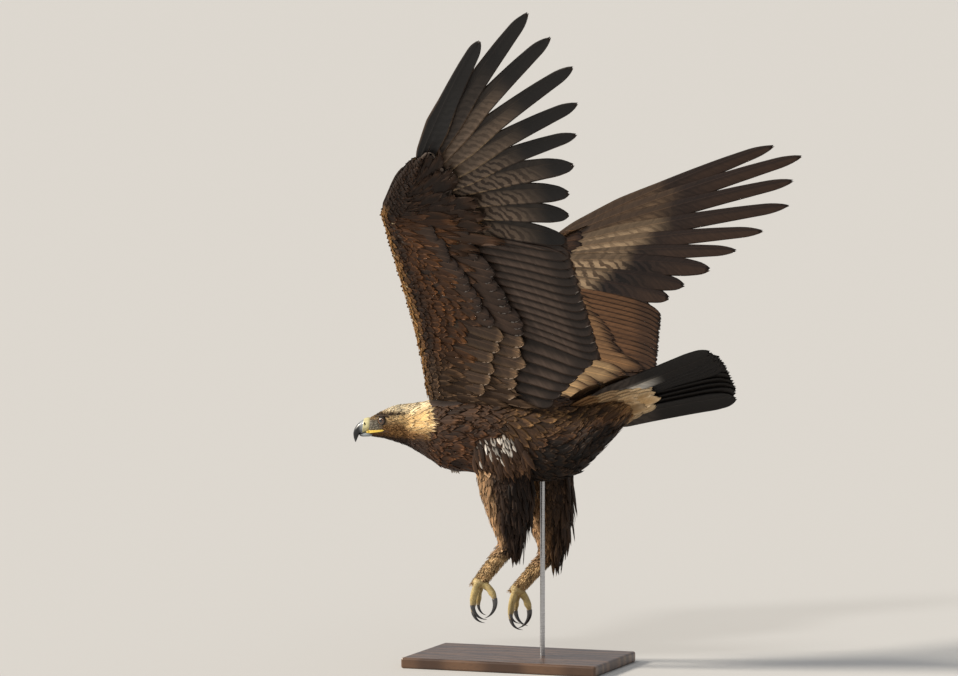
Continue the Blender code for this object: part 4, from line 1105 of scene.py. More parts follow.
# Wings
def quills(axes, held):
    """The flight feathers from the outermost in, and where each starts along the wing: 0 at the
    shoulder, 1 at the wrist and 2 at the end of the hand."""
    rows = []
    lengths = [length * held["inner_primaries"] for length in PRIMARY_LENGTHS[:-1]]
    lengths += [PRIMARY_LENGTHS[-1], held["outermost"]]
    elbow = axes["elbow_share"]
    for k in range(9, -1, -1):
        share = k / 9
        scale, power = held["fan"]
        aim = turned(axes["trail"], axes["hand_normal"], -axes["fan"] * scale * PRIMARY_FAN[k] ** power)
        out = PRIMARY_ROOTS[0] + (PRIMARY_ROOTS[1] - PRIMARY_ROOTS[0]) * share
        root = axes["wrist"] + axes["hand"] * HAND * out + axes["trail"] * QUILL_BACK
        rows.append(["primary", root, aim, lengths[k], PRIMARY_WIDTH, 1 + out])
    for k in range(SECONDARIES):
        share = k / (SECONDARIES - 1)
        in_arm = 0.03 + 0.97 * share
        root = axes["wrist"] + (axes["elbow"] - axes["wrist"]) * in_arm + axes["trail"] * QUILL_BACK
        aim = turned(axes["trail"], axes["arm_normal"], held["droop"] * share)
        length = held["outer"] + (held["inner"] - held["outer"]) * share
        rows.append(["secondary", root, aim, length, SECONDARY_WIDTH, 1 - (1 - elbow) * in_arm])
    for k in range(TERTIALS):
        share = (k + 1) / TERTIALS
        root = axes["elbow"] + (SHOULDER - axes["elbow"]) * TERTIAL_REACH * share
        root = root + axes["trail"] * (QUILL_BACK + TERTIAL_BACK * share)
        aim = turned(axes["trail"], axes["arm_normal"], held["droop"] + TERTIAL_TURN * (k + 1))
        length = held["inner"] - TERTIAL_STEP * (k + 1)
        rows.append(["tertial", root, aim, length, TERTIAL_WIDTH, elbow * (1 - TERTIAL_REACH * share)])
    for k, row in enumerate(rows):
        blend = min(max((k - TWIST_FROM) / TWIST_OVER, 0.0), 1.0)
        normal = axes["hand_normal"] * (1 - blend) + axes["arm_normal"] * blend
        row.append(unit(normal - row[2] * (normal @ row[2])))
    keys = ("kind", "root", "aim", "length", "width", "place", "normal")
    return [dict(zip(keys, row)) for row in rows]


FINGER = (
    (0, 0.22), (0.15, 0.80), (0.36, 1.0), (0.52, 0.80), (0.80, 0.62), (0.93, 0.50), (0.985, 0.26), (1.0, 0.08)
)
PRIMARY = ((0, 0.22), (0.18, 0.85), (0.70, 1.0), (0.88, 0.84), (0.96, 0.58), (0.99, 0.30), (1.0, 0.12))
SECONDARY = ((0, 0.22), (0.22, 0.90), (0.84, 1.0), (0.93, 0.86), (0.98, 0.52), (1.0, 0.16))
COVERT = ((0, 0.40), (0.35, 0.88), (0.70, 1.0), (0.88, 0.84), (0.965, 0.5), (1.0, 0.12))


def flight_tints_and_shadow(kind, index, side, blade):
    """Tints of one flight feather, back and underside, with painted shadow of the neighbouring feather on
    secondaries and tertials, and how strongly it is barred.
    """
    t, m = blade.t, blade.a * side
    inner = smooth(-0.30, -0.10, m)
    lead = 1 - inner
    if kind == "primary":
        finger = index <= 5
        tip = smooth(0.50, 0.72, t) if finger else smooth(0.62, 0.90, t)
        web = {0: (0.012, 0.011, 0.011), 1: (0.045, 0.033, 0.026)}.get(index, (0.125, 0.088, 0.062))
        under = mix(web, (0.007, 0.006, 0.006), np.maximum(tip, lead * 0.85))
        under = mix(under, (0.030, 0.024, 0.020), smooth(0.86, 1.0, m) * 0.5)
        cream = (0.34, 0.235, 0.14) if index > 2 else (0.13, 0.080, 0.045)
        outer = smooth(0.42, 0.58, t) if finger else smooth(0.50, 0.64, t)
        upper = mix(cream, (0.020, 0.012, 0.009), np.maximum(outer, lead * 0.7))
        upper = mix(upper, (0.050, 0.027, 0.016), tip * inner * 0.6)
        bars = (0.85 if index > 4 else 0.40) * (1 - tip) * (0.35 + 0.65 * inner)
    else:
        tip = smooth(0.80, 0.90, t)
        # underside: painted shadow of the neighbouring feather, darkest to just past the shaft, lighter
        # towards the inner edge
        under = mix((0.018, 0.012, 0.009), (0.062, 0.042, 0.032),
                    smooth(0.30, 0.80, m))
        under = mix(under, (0.13, 0.10, 0.080), smooth(0.94, 1.0, m) * 0.6)
        under = mix(under, (0.016, 0.011, 0.009), tip * 0.9)
        under = mix(under, (0.13, 0.052, 0.018), smooth(0.975, 1.0, t) * 0.8)
        brown = (0.125, 0.060, 0.027) if kind == "secondary" else (0.155, 0.088, 0.042)
        # back: painted shadow of the next feather, darker towards the shaft
        upper = mix(brown, (0.020, 0.011, 0.007), smooth(-0.62, -0.22, m) * 0.85)
        upper = mix(upper, (0.030, 0.016, 0.010), smooth(-0.90, -1.0, m) * 0.9)
        upper = mix(upper, (0.034, 0.018, 0.011), tip * 0.7)
        bars = 0.16 * (1 - tip) * smooth(0.10, 0.25, t)
    tint = np.where((blade.face > 0)[:, None], upper, under)
    return tint, np.broadcast_to(bars, t.shape)


def strip(count, blade):
    """Bake map of large feathers: one strip for the back and one for the underside of each."""
    width = 1.0 / (2 * count)
    x = (np.arange(count) * 2 * width)[:, None] + np.where(blade.face > 0, 0.0, width)
    x = x + width * (0.5 + 0.46 * blade.a)
    y = np.broadcast_to(0.01 + 0.98 * blade.t, x.shape)
    return np.stack([x, y], -1)


def in_frame(side):
    """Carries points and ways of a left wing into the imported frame, for the wing on a side."""
    flip = np.array([1, side, 1])
    return (lambda p: banked(np.asarray(p) * flip)), (lambda v: banked_way(np.asarray(v) * flip))


def sided(blade, side):
    if side > 0:
        return blade
    made = Blade.__new__(Blade)
    made.__dict__.update(blade.__dict__)
    made.a = -blade.a
    made.faces = blade.faces[:, ::-1]
    return made


def add_flight_feathers(name, held, rows):
    side = held["side"]
    place, way = in_frame(side)
    coat = Coat(f"flight_feathers_{name}", "body_feathers", FLIGHT)
    blade = sided(FINE, side)
    outlines = {"secondary": SECONDARY, "tertial": SECONDARY}
    primaries = 0
    all_bake = strip(len(rows), blade)
    for k, row in enumerate(rows):
        index = primaries if row["kind"] == "primary" else k
        primaries += row["kind"] == "primary"
        outline = outlines.get(row["kind"]) or (FINGER if index < 6 else PRIMARY)
        finger = row["kind"] == "primary" and index < 6
        points, run, beside = vanes(place(row["root"])[None], way(row["aim"])[None], way(row["normal"])[None],
                                    row["length"], row["width"], blade, outline, -SHINGLE * side,
                                    camber=0.10, sag=0.010 if finger else 0.016,
                                    sweep=-side * (0.014 if finger else 0.022),
                                    shaft=-0.28 * side, jag=0.006, ripple=0.0006)
        tint, bars = flight_tints_and_shadow(row["kind"], index, side, blade)
        tint = tint * RNG.normal(1.0, 0.07)
        coat.add(points, blade, run, beside, all_bake[k][None], tint[None], bars[None])
    coat.finish_piece()


# How the shafts of soft feathers stand out, and the thickness of coverts
COVERT_VANE = {"thickness": 0.0008, "shaft": 0.0, "shaft_height": 0.0003}
TUFT_VANE = {"shaft": 0.0, "shaft_height": 0.0002}
# Long coverts: which quills they follow, how far ahead of the quill's root they start, how far off it
# on the dorsal side, their length at the outer and inner end, and width
LONG_COVERTS = (
    ("primary", 0.010, 0.0058, 0.122, 0.150, 0.034),
    ("secondary", 0.012, 0.0066, 0.255, 0.262, 0.043),
    ("secondary", 0.030, 0.0100, 0.190, 0.200, 0.038),
    ("tertial", 0.012, 0.0070, 0.245, 0.215, 0.046),
    ("tertial", 0.030, 0.0105, 0.180, 0.150, 0.042),
    ("primary", 0.010, -0.0058, 0.120, 0.155, 0.034),
    ("secondary", 0.012, -0.0066, 0.168, 0.152, 0.043),
    ("secondary", 0.028, -0.0100, 0.108, 0.098, 0.038),
    ("tertial", 0.012, -0.0070, 0.160, 0.150, 0.046),
    ("tertial", 0.028, -0.0105, 0.120, 0.110, 0.042),
)


# The small feathers of the thumb: how far out along the hand, length and height off it
ALULA = ((0.004, 0.075, -0.001), (0.010, 0.098, 0.0010), (0.018, 0.122, 0.003), (0.026, 0.143, 0.005))
ALULA_WIDTH = 0.026
# Ground and rim of the long coverts on the back and, where False, on the underside
LONG_COVERT_TINTS = {
    ("primary", True): ((0.045, 0.023, 0.013), (0.020, 0.011, 0.008)),
    ("secondary", True): ((0.205, 0.110, 0.050), (0.042, 0.021, 0.011)),
    ("tertial", True): ((0.36, 0.23, 0.115), (0.085, 0.044, 0.021)),
    ("primary", False): ((0.050, 0.036, 0.029), (0.080, 0.060, 0.047)),
    ("secondary", False): ((0.036, 0.021, 0.014), (0.018, 0.010, 0.007)),
    ("tertial", False): ((0.046, 0.028, 0.018), (0.130, 0.080, 0.045)),
}


def covert_tints_and_shade(kind, above, blade, count):
    """Tints of some long coverts, darker at the root as painted shade, each a little lighter or darker than
    the next.
    """
    ground, rim = LONG_COVERT_TINTS[kind, above]
    edge = smooth(0.45, 0.95, np.abs(blade.a)) * 0.8 + smooth(0.86, 0.98, blade.t)
    tint = mix(ground, rim, np.clip(edge, 0, 1))
    # painted shade towards the root, where the feathers in front lie over it
    tint = tint * (0.72 + 0.28 * smooth(0.15, 0.6, blade.t))[:, None]
    return tint[None] * RNG.normal(1.0, 0.12, (count, 1, 1)).clip(0.6, 1.5)


def add_long_coverts(name, held, rows, axes):
    side = held["side"]
    place, way = in_frame(side)
    blade = BROAD
    coat = Coat(f"long_coverts_{name}", "body_feathers", FLIGHT)
    for tier, (kind, ahead, rise, outer, inner, width) in enumerate(LONG_COVERTS):
        follow = [row for row in rows if row["kind"] == kind]
        if kind == "primary":
            follow = follow[1:]
        roots = [place(row["root"] - row["aim"] * ahead + row["normal"] * rise) for row in follow]
        aims = [way(row["aim"]) for row in follow]
        normals = [way(row["normal"]) for row in follow]
        lengths = [(outer + (inner - outer) * k / (len(follow) - 1)) * RNG.uniform(0.92, 1.06)
                   for k in range(len(follow))]
        roots, aims, normals, lengths = (np.array(column) for column in (roots, aims, normals, lengths))
        points, run, beside = vanes(roots, aims, normals, lengths, width, blade, COVERT, -SHINGLE * side,
                                    camber=math.copysign(0.16, rise), sag=0.012, sweep=-side * 0.02, jag=0.02,
                                    **COVERT_VANE)
        across = np.full(len(follow), (tier + 0.5) / len(LONG_COVERTS))
        bake = patches(across, np.array([row["place"] / 2 for row in follow]), blade)
        coat.add(points, blade, run, beside, bake, covert_tints_and_shade(kind, rise > 0, blade, len(follow)))
    back = unit(np.cross(axes["hand_normal"], axes["hand"]))
    aim = unit(axes["hand"] + back * 0.09)
    for k, (out, length, height) in enumerate(ALULA):
        root = axes["wrist"] + axes["hand"] * out - back * 0.024 + axes["hand_normal"] * height
        points, run, beside = vanes(place(root)[None], way(aim)[None], way(axes["hand_normal"])[None], length,
                                    ALULA_WIDTH, blade, COVERT, camber=0.12, sag=0.01, sweep=-side * 0.03,
                                    **COVERT_VANE)
        bake = patches(np.array([0.97]), np.array([0.2 + 0.2 * k]), blade)
        coat.add(points, blade, run, beside, bake, covert_tints_and_shade("primary", True, blade, 1) * 0.8)
    coat.finish_piece("wing_" + name)


EXTENSION = 0.09
FRONT_ROWS = 44
REAR_ROWS = 22


def wing_sheet(axes, rows, side, above):
    """The face of the wing's flesh and long coverts, from the front edge back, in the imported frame."""
    order = sorted(rows, key=lambda row: row["place"])
    at = np.array([row["place"] for row in order])
    aims = np.array([row["aim"] for row in order])
    normals = np.array([row["normal"] for row in order])
    columns, ways = [], []
    sign = 1 if above else -1
    for key in np.linspace(-0.04, 2.14, 110):
        aim = unit(np.array([np.interp(key, at, aims[:, c]) for c in range(3)]))
        normal = unit(np.array([np.interp(key, at, normals[:, c]) for c in range(3)]))
        section = arm_section(axes, key) if key < 1 else hand_section(axes, key - 1)
        start, back, body_normal, deep, chord, height = section
        deep += QUILL_BACK
        beyond = deep + np.linspace(0, EXTENSION, REAR_ROWS + 1)[1:]
        run = np.concatenate([np.linspace(0, deep, FRONT_ROWS), beyond])
        line = start + back * np.minimum(run, deep)[:, None] + aim * np.maximum(run - deep, 0)[:, None]
        rise = height * table(UPPER_SIDE if above else UNDER_SIDE, run / chord)
        shelf = 0.0095 * smooth(0.0, 0.8, run / deep) * (1 - 0.35 * smooth(deep, deep + EXTENSION, run))
        share_back = smooth(0.5, 1.2, run / deep)[:, None]
        lift = unit(body_normal * (1 - share_back) + normal * share_back)
        columns.append(line + lift * sign * np.maximum(rise - 0.001, shelf)[:, None])
        ways.append(np.broadcast_to(aim, line.shape))
    points = np.array(columns)
    points = densified(points, 1, 5).transpose(1, 0, 2)
    points = densified(points, 1, 3)
    place, way = in_frame(side)
    sheet = Sheet(place(points), False, 1)
    dorsal = way(axes["arm_normal"]) * sign
    if (sheet.normals[30, 40] @ dorsal) < 0:
        sheet.normals = -sheet.normals
    sheet.ways = way(np.array(ways).transpose(1, 0, 2))
    return sheet


# Along the chord: gap between rows, gap in a row, length and width of the small coverts
COVERT_SIZES = (
    (0.00, 0.0042, 0.0048, 0.014, 0.0085),
    (0.12, 0.0056, 0.0062, 0.024, 0.0120),
    (0.30, 0.0076, 0.0085, 0.036, 0.0165),
    (0.50, 0.0100, 0.0115, 0.050, 0.0220),
    (0.66, 0.0130, 0.0140, 0.068, 0.0270),
)


def small_covert_tints_and_highlight(above, u, v):
    """Ground and rim of the wing's small feathers, from the front edge back and along the wing, with a
    painted highlight on the arm's front edge.
    """
    if above:
        tints = (0.072, 0.035, 0.017), (0.23, 0.125, 0.052)
        tints = paint(tints, smooth(0.3, 0.6, u), (0.120, 0.060, 0.027), (0.27, 0.150, 0.064),
                      smooth(0.1, 0.5, u))
        inner = smooth(0.24, 0.10, v)
        tints = paint(tints, inner * 0.7, (0.18, 0.10, 0.045), (0.46, 0.30, 0.14))
        hand = smooth(0.52, 0.66, v)
        tints = paint(tints, hand * 0.8, (0.034, 0.018, 0.011), (0.090, 0.046, 0.022), hand * 0.7)
    else:
        tints = (0.040, 0.019, 0.010), (0.155, 0.062, 0.020)
        band = bump(0.14, 0.09, u)
        tints = paint(tints, band * 0.8, BLACK, (0.030, 0.015, 0.009), band * 0.9)
        rear = smooth(0.45, 0.62, u)
        tints = paint(tints, rear, (0.030, 0.018, 0.012), (0.075, 0.038, 0.020), rear * 0.8)
        hand = smooth(0.46, 0.56, v)
        tints = paint(tints, hand * 0.9, (0.014, 0.009, 0.007), (0.040, 0.021, 0.012))
        arm_pit = smooth(0.16, 0.06, v)
        tints = paint(tints, arm_pit, (0.030, 0.017, 0.010), (0.14, 0.080, 0.042))
    # the arm's front edge: paler and rusty, partly the feathers' own rusty edge and partly painted highlight
    edge = smooth(0.10, 0.03, u) * smooth(0.60, 0.50, v)
    lit = np.array((0.30, 0.165, 0.070) if above else (0.36, 0.185, 0.062))
    return paint(tints, edge, lit * 0.55, lit)


def add_small_coverts(name, held, rows, axes):
    side = held["side"]
    for above in (True, False):
        coat = Coat(f"{'upper' if above else 'under'}_coverts_{name}", "body_feathers", CONTOUR)
        sheet = wing_sheet(axes, rows, side, above)
        u, v = sheet.scatter(COVERT_SIZES, 0.0, 0.66)
        v = np.clip(v, 0.0, 1.0)
        du, _ = sheet.slopes(u, v)
        aim = sheet.read(sheet.ways, u, v)
        share = 0.25 + 0.75 * smooth(0.0, 0.62, u)
        ways = unit(du) * (1 - share)[:, None] + aim * share[:, None]
        _, _, length, width = table(COVERT_SIZES, u)
        length = length * RNG.uniform(0.85, 1.15, len(u)) * (1 - 0.35 * smooth(0.8, 1.0, v))
        ground, rim = small_covert_tints_and_highlight(above, u, v)
        rim = rim * (0.6 + 0.8 * RNG.uniform(0, 1, (len(u), 1)))
        points, run, beside = lay(sheet, u, v, ways, length, width, BODY, ROUND_TIP, sink=0.001, lift=0.0018,
                                  jag=0.09, thickness=0.0004, camber=0.16)
        coat.add(points, BODY, run, beside, patches(u, v, BODY), edged(BODY, ground, rim, 0.9))
        coat.finish_piece()


# Tail
TAIL_FEATHERS = 12
TAIL_LENGTH = 0.306
TAIL_SPREAD = math.radians(6.8)
TAIL_RAISED = math.radians(18)
TAIL_WIDTH = 0.050
TAIL_ROOT = np.array([-0.262, 0.0, -0.002])
TAIL_ROOT_STEP = 0.0062
TAIL_STACK = 0.0013
TAIL_MIDDLE = 0.004
TAIL_ROUNDED = 0.012
# Rise off the tail's roots, start along it, half spread of the roots, fan, count, length and width
TAIL_COVERTS = (
    (0.0075, -0.010, 0.034, 9, 9, 0.085, 0.030),
    (0.0060, 0.020, 0.030, 8, 8, 0.118, 0.034),
    (-0.0270, -0.025, 0.030, 8, 13, 0.085, 0.026),
    (-0.0250, 0.000, 0.029, 7, 12, 0.095, 0.027),
    (-0.0230, 0.024, 0.026, 6, 11, 0.100, 0.027),
    (-0.0200, 0.048, 0.022, 5, 9, 0.105, 0.028),
)


def tail_axes():
    along = np.array([-math.cos(TAIL_RAISED), 0.0, math.sin(TAIL_RAISED)])
    normal = turned(np.array([math.sin(TAIL_RAISED), 0.0, math.cos(TAIL_RAISED)]), along, -TAIL_TWIST)
    return along, normal


def add_tail():
    along, normal = tail_axes()
    left = np.cross(along, normal)
    coat = Coat("tail_feathers", "body_feathers", FLIGHT)
    for k in range(TAIL_FEATHERS):
        rank, side = k // 2, 1 if k % 2 == 0 else -1
        fan = TAIL_SPREAD * (rank + 0.5) / (TAIL_FEATHERS / 2 - 0.5) * side
        root = TAIL_ROOT - normal * (TAIL_STACK * k) - left * side * (TAIL_MIDDLE + TAIL_ROOT_STEP * rank)
        length = TAIL_LENGTH * (1 - TAIL_ROUNDED * max(rank - 3, 0))
        blade = sided(FINE, side)
        points, run, beside = vanes(banked(root)[None], banked_way(turned(along, normal, fan))[None],
                                    banked_way(normal)[None], length, TAIL_WIDTH, blade, SECONDARY,
                                    camber=0.10, sag=0.008, sweep=-side * 0.012 * rank / 5,
                                    shaft=-0.28 * side, jag=0.010, ripple=0.0005)
        t, m = blade.t, blade.a * side
        grey = mix((0.050, 0.038, 0.031), (0.008, 0.006, 0.005),
                   smooth(0.34, 0.50, t))
        if rank == 5 and side == -1:
            grey = mix(grey, PALE, smooth(-0.10, -0.45, m) * smooth(0.62, 0.40, t) * 0.9)
        tint = np.where((blade.face > 0)[:, None], grey * 0.75, grey)
        bars = 0.45 * smooth(0.50, 0.35, t)
        coat.add(points, blade, run, beside, strip(TAIL_FEATHERS, blade)[k][None], tint[None], bars[None])
    coat.finish_piece("tail")
    coat = Coat("tail_coverts", "body_feathers", CONTOUR)
    for tier, (rise, start, reach, fan, count, length, width) in enumerate(TAIL_COVERTS):
        beside_root = np.linspace(-1, 1, count) + RNG.normal(0, 0.04, count)
        roots = TAIL_ROOT + left * reach * beside_root[:, None]
        roots = roots + along * (start - 0.012 * np.abs(beside_root))[:, None]
        height = rise * (1 - 0.25 * beside_root[:, None] ** 2) + 0.0004 * np.arange(count)[:, None]
        roots = roots + normal * height
        normals = np.broadcast_to(normal, roots.shape)
        aims = turned(np.broadcast_to(along, roots.shape), normals, -np.radians(fan) * beside_root)
        up = math.copysign(1, rise)
        lean = aims - normal * up * 0.02
        points, run, beside = vanes(banked(roots), banked_way(lean), banked_way(normals),
                                    length * RNG.uniform(0.9, 1.06, count), width, BROAD, COVERT,
                                    camber=0.14 * up, sag=0.02 * up, jag=0.04, **COVERT_VANE)
        ground, rim = np.array(((0.055, 0.029, 0.015), (0.17, 0.095, 0.045)))
        if rise < 0:
            paler = (start + 0.025) / 0.073
            ground = mix(np.array((0.105, 0.045, 0.016)), (0.52, 0.33, 0.155), paler)
            rim = mix(np.array((0.34, 0.19, 0.080)), (0.78, 0.60, 0.38), paler)
        ground = ground * RNG.uniform(0.6, 1.15, (count, 1))
        rim = spread(rim, count)
        bake = patches(np.full(count, 0.1 + 0.16 * tier), (beside_root + 1.2) / 2.5, BROAD)
        coat.add(points, BROAD, run, beside, bake, edged(BROAD, ground, rim, 0.8))
    coat.finish_piece()


# Legs
# Down the drumstick: locks in a row, their first and last angle from the front, length and width
TROUSERS = (
    (0.20, 22, 70, 205, 0.050, 0.014),
    (0.30, 24, 62, 208, 0.052, 0.014),
    (0.40, 26, 58, 212, 0.054, 0.013),
    (0.49, 26, 56, 214, 0.055, 0.013),
    (0.58, 26, 54, 216, 0.056, 0.012),
    (0.66, 26, 54, 218, 0.056, 0.012),
    (0.74, 25, 54, 220, 0.054, 0.011),
    (0.81, 24, 56, 222, 0.052, 0.011),
    (0.88, 22, 60, 224, 0.046, 0.010),
    (0.94, 20, 64, 226, 0.038, 0.009),
    (0.99, 16, 70, 228, 0.030, 0.008),
)
# Down the leg: gap between rows, gap in a row, length and width of its feathers and how far their tips
# stand off
LEG_SIZES = (
    (0.00, 0.0085, 0.0080, 0.040, 0.0150, 0.0035),
    (0.40, 0.0076, 0.0070, 0.036, 0.0120, 0.0035),
    (0.56, 0.0056, 0.0054, 0.026, 0.0084, 0.0030),
    (0.70, 0.0034, 0.0038, 0.018, 0.0058, 0.0024),
    (1.00, 0.0030, 0.0034, 0.015, 0.0050, 0.0020),
)
SHANK_FLUFF = 0.0066
HEEL_AT = 0.52


def thigh_point(leg, share, turn):
    heel = np.array(leg["heel"])
    hip = np.array([heel[0] + HIP_AHEAD, heel[1], HIP_HEIGHT])
    ahead, behind, half_width = table(THIGH_RINGS, share)
    reach = ahead if math.cos(turn) > 0 else behind
    return hip + (heel - hip) * share + np.array([reach * math.cos(turn), half_width * math.sin(turn), 0.0])


def leg_tints_and_light(p, side, u):
    """Ground and rim of the leg's feathers: golden in front and inside, partly their own tawny colour and
    partly painted light; dark behind and outside, partly their own dark brown and partly painted shade.
    """
    bird = from_level(p)
    leg = LEGS["left" if side > 0 else "right"]
    heel = np.array(leg["heel"])
    down = smooth(HIP_HEIGHT, heel[2], bird[..., 2])
    ahead = bird[..., 0] - heel[0] - HIP_AHEAD * (1 - down)
    front = smooth(0.006 - 0.014 * down, 0.036 - 0.028 * down, ahead)
    outer = smooth(-0.012, 0.016, bird[..., 1] * side - heel[1])
    rear = smooth(0.004, -0.026, ahead)
    tints = (0.130, 0.062, 0.025), (0.34, 0.190, 0.080)
    # outside: the leg's own dark brown, darkened further as painted shade
    tints = paint(tints, outer, (0.034, 0.019, 0.012), (0.075, 0.040, 0.022))
    # behind: nearly black, painted shade over the dark brown
    tints = paint(tints, rear * 0.9, (0.012, 0.007, 0.005), (0.032, 0.017, 0.010))
    # front: golden buff, partly the feathers' own colour and partly painted highlight
    tints = paint(tints, front, (0.330, 0.185, 0.090), (0.58, 0.39, 0.220))
    shank = smooth(0.56, 0.66, u)
    return paint(tints, shank, (0.36, 0.225, 0.105), (0.66, 0.47, 0.25))


# Ground and rim of the white down and of the flank feathers
DOWN_TINTS = (0.46, 0.42, 0.37), (0.74, 0.70, 0.64)
FLANK_TINTS = (0.036, 0.018, 0.010), (0.11, 0.056, 0.027)
# Tints, count, spread along the bird, length, width, lowest and highest root, and how far off the thigh
FLANK_TUFT = (FLANK_TINTS, 220, 0.054, 0.046, 0.015, -0.02, 0.028, 0.002)
DOWN_TUFT = (DOWN_TINTS, 60, 0.046, 0.018, 0.0046, -0.024, 0.026, 0.005)
# A small white tuft on the breast's underside
BREAST_TUFT = np.array((0.028, 0.014, -0.124))


def spread(colour, count):
    return np.broadcast_to(np.array(colour), (count, 3))


def add_thigh_tops():
    """Flank feathers falling over the top of each thigh, and white down between them."""
    for name, leg in LEGS.items():
        side, heel = leg["side"], np.array(leg["heel"])
        flip = np.array([1, side, 1])
        coat = Coat(f"flank_tufts_{name}", "body_feathers", CONTOUR)
        for tints, count, reach, long, wide, low, high, fluff in (FLANK_TUFT, DOWN_TUFT):
            along = RNG.uniform(-1, 1, count)
            rise = RNG.uniform(low, high, count)
            if tints is DOWN_TINTS:
                along = np.clip(RNG.normal(-0.1, 0.5, count), -1, 1)
                rise = rise - 0.010 * along
            ahead = HIP_AHEAD - 0.002 + along * reach
            out = heel[1] + 0.030 + fluff + 0.010 * np.sqrt(1 - along**2) - 0.25 * np.clip(rise, 0, 1)
            roots = np.stack([heel[0] + ahead, out, HIP_HEIGHT + 0.012 + rise], -1)
            aims = [RNG.normal(-0.45, 0.20, count), RNG.normal(0.04, 0.06, count), -np.ones(count)]
            normals = np.stack([0.2 * along, np.ones(count), 0.15 + np.zeros(count)], -1)
            roots, aims = level(roots * flip), level_way(np.stack(aims, -1) * flip)
            lengths, widths = long * RNG.uniform(0.7, 1.2, count), wide * RNG.uniform(0.7, 1.2, count)
            points, run, beside = vanes(roots, aims, level_way(normals * flip), lengths, widths, BODY, LANCE,
                                        camber=0.2, sag=RNG.normal(0.04, 0.03, count),
                                        sweep=RNG.normal(0, 0.06, count), thickness=0.0005, jag=0.12,
                                        **TUFT_VANE)
            tint = edged(BODY, spread(tints[0], count), spread(tints[1], count), 0.9)
            tint = tint * cloud(roots, 0.03, 0.3)[:, None, None]
            bake = patches((along + 1.1) / 2.2, (rise + 0.03) / 0.07, BODY)
            coat.add(points, BODY, run, beside, bake, tint)
        coat.finish_piece()


def add_breast_tuft():
    count = 18
    roots = BREAST_TUFT + RNG.uniform(-1, 1, (count, 3)) * (0.007, 0.006, 0.003)
    aims = np.array((-0.6, 0.0, -0.8)) + RNG.normal(0, 0.35, (count, 3))
    normals = np.tile((0.0, 1.0, -0.3), (count, 1))
    points, run, beside = vanes(level(roots), level_way(aims), level_way(normals), 0.016, 0.005, BODY, LANCE,
                                camber=0.2, thickness=0.0005, jag=0.12, **TUFT_VANE)
    coat = Coat("breast_tuft", "body_feathers", CONTOUR)
    bake = patches(np.linspace(0.1, 0.9, count), np.full(count, 0.5), BODY)
    tint = edged(BODY, spread(DOWN_TINTS[0], count), spread(DOWN_TINTS[1], count), 0.9)
    coat.add(points, BODY, run, beside, bake, tint)
    coat.finish_piece()


def trouser_tier(leg, tier):
    """One tier of long locks round the drumstick: root, aim, normal, length, width and place on the map."""
    share, count, first, last, length, width = TROUSERS[tier]
    flip, locks = np.array([1, leg["side"], 1]), []
    for k in range(count):
        turn = math.radians(first + (last - first) * (k + 0.5 * (tier % 2)) / (count - 0.5))
        turn += RNG.normal(0, 0.05)
        here = min(share + RNG.uniform(-0.04, 0.04), 1.0)
        root = thigh_point(leg, here, turn)
        outward = unit(root - thigh_point(leg, here, turn + math.pi))
        slope = unit(thigh_point(leg, min(share + 0.2, 1.02), turn) - thigh_point(leg, share, turn))
        rear = max(-math.cos(turn), 0.0)
        lean = 0.10 + 0.30 * share * rear + RNG.normal(0, 0.05)
        droop = np.array([0.10 * rear * share, 0.0, -0.5 * share])
        aim = unit(slope + outward * lean + droop + RNG.normal(0, 0.05, 3))
        normal = unit(outward - aim * (outward @ aim))
        long = length * (0.82 + 0.40 * rear) * RNG.uniform(0.72, 1.15)
        wide = width * RNG.uniform(0.7, 1.2)
        locks.append(np.concatenate([level((root - outward * 0.005) * flip), level_way(aim * flip),
                                     level_way(normal * flip),
                                     (long, wide, 0.05 + 0.08 * tier, turn / (2 * math.pi))]))
    return locks


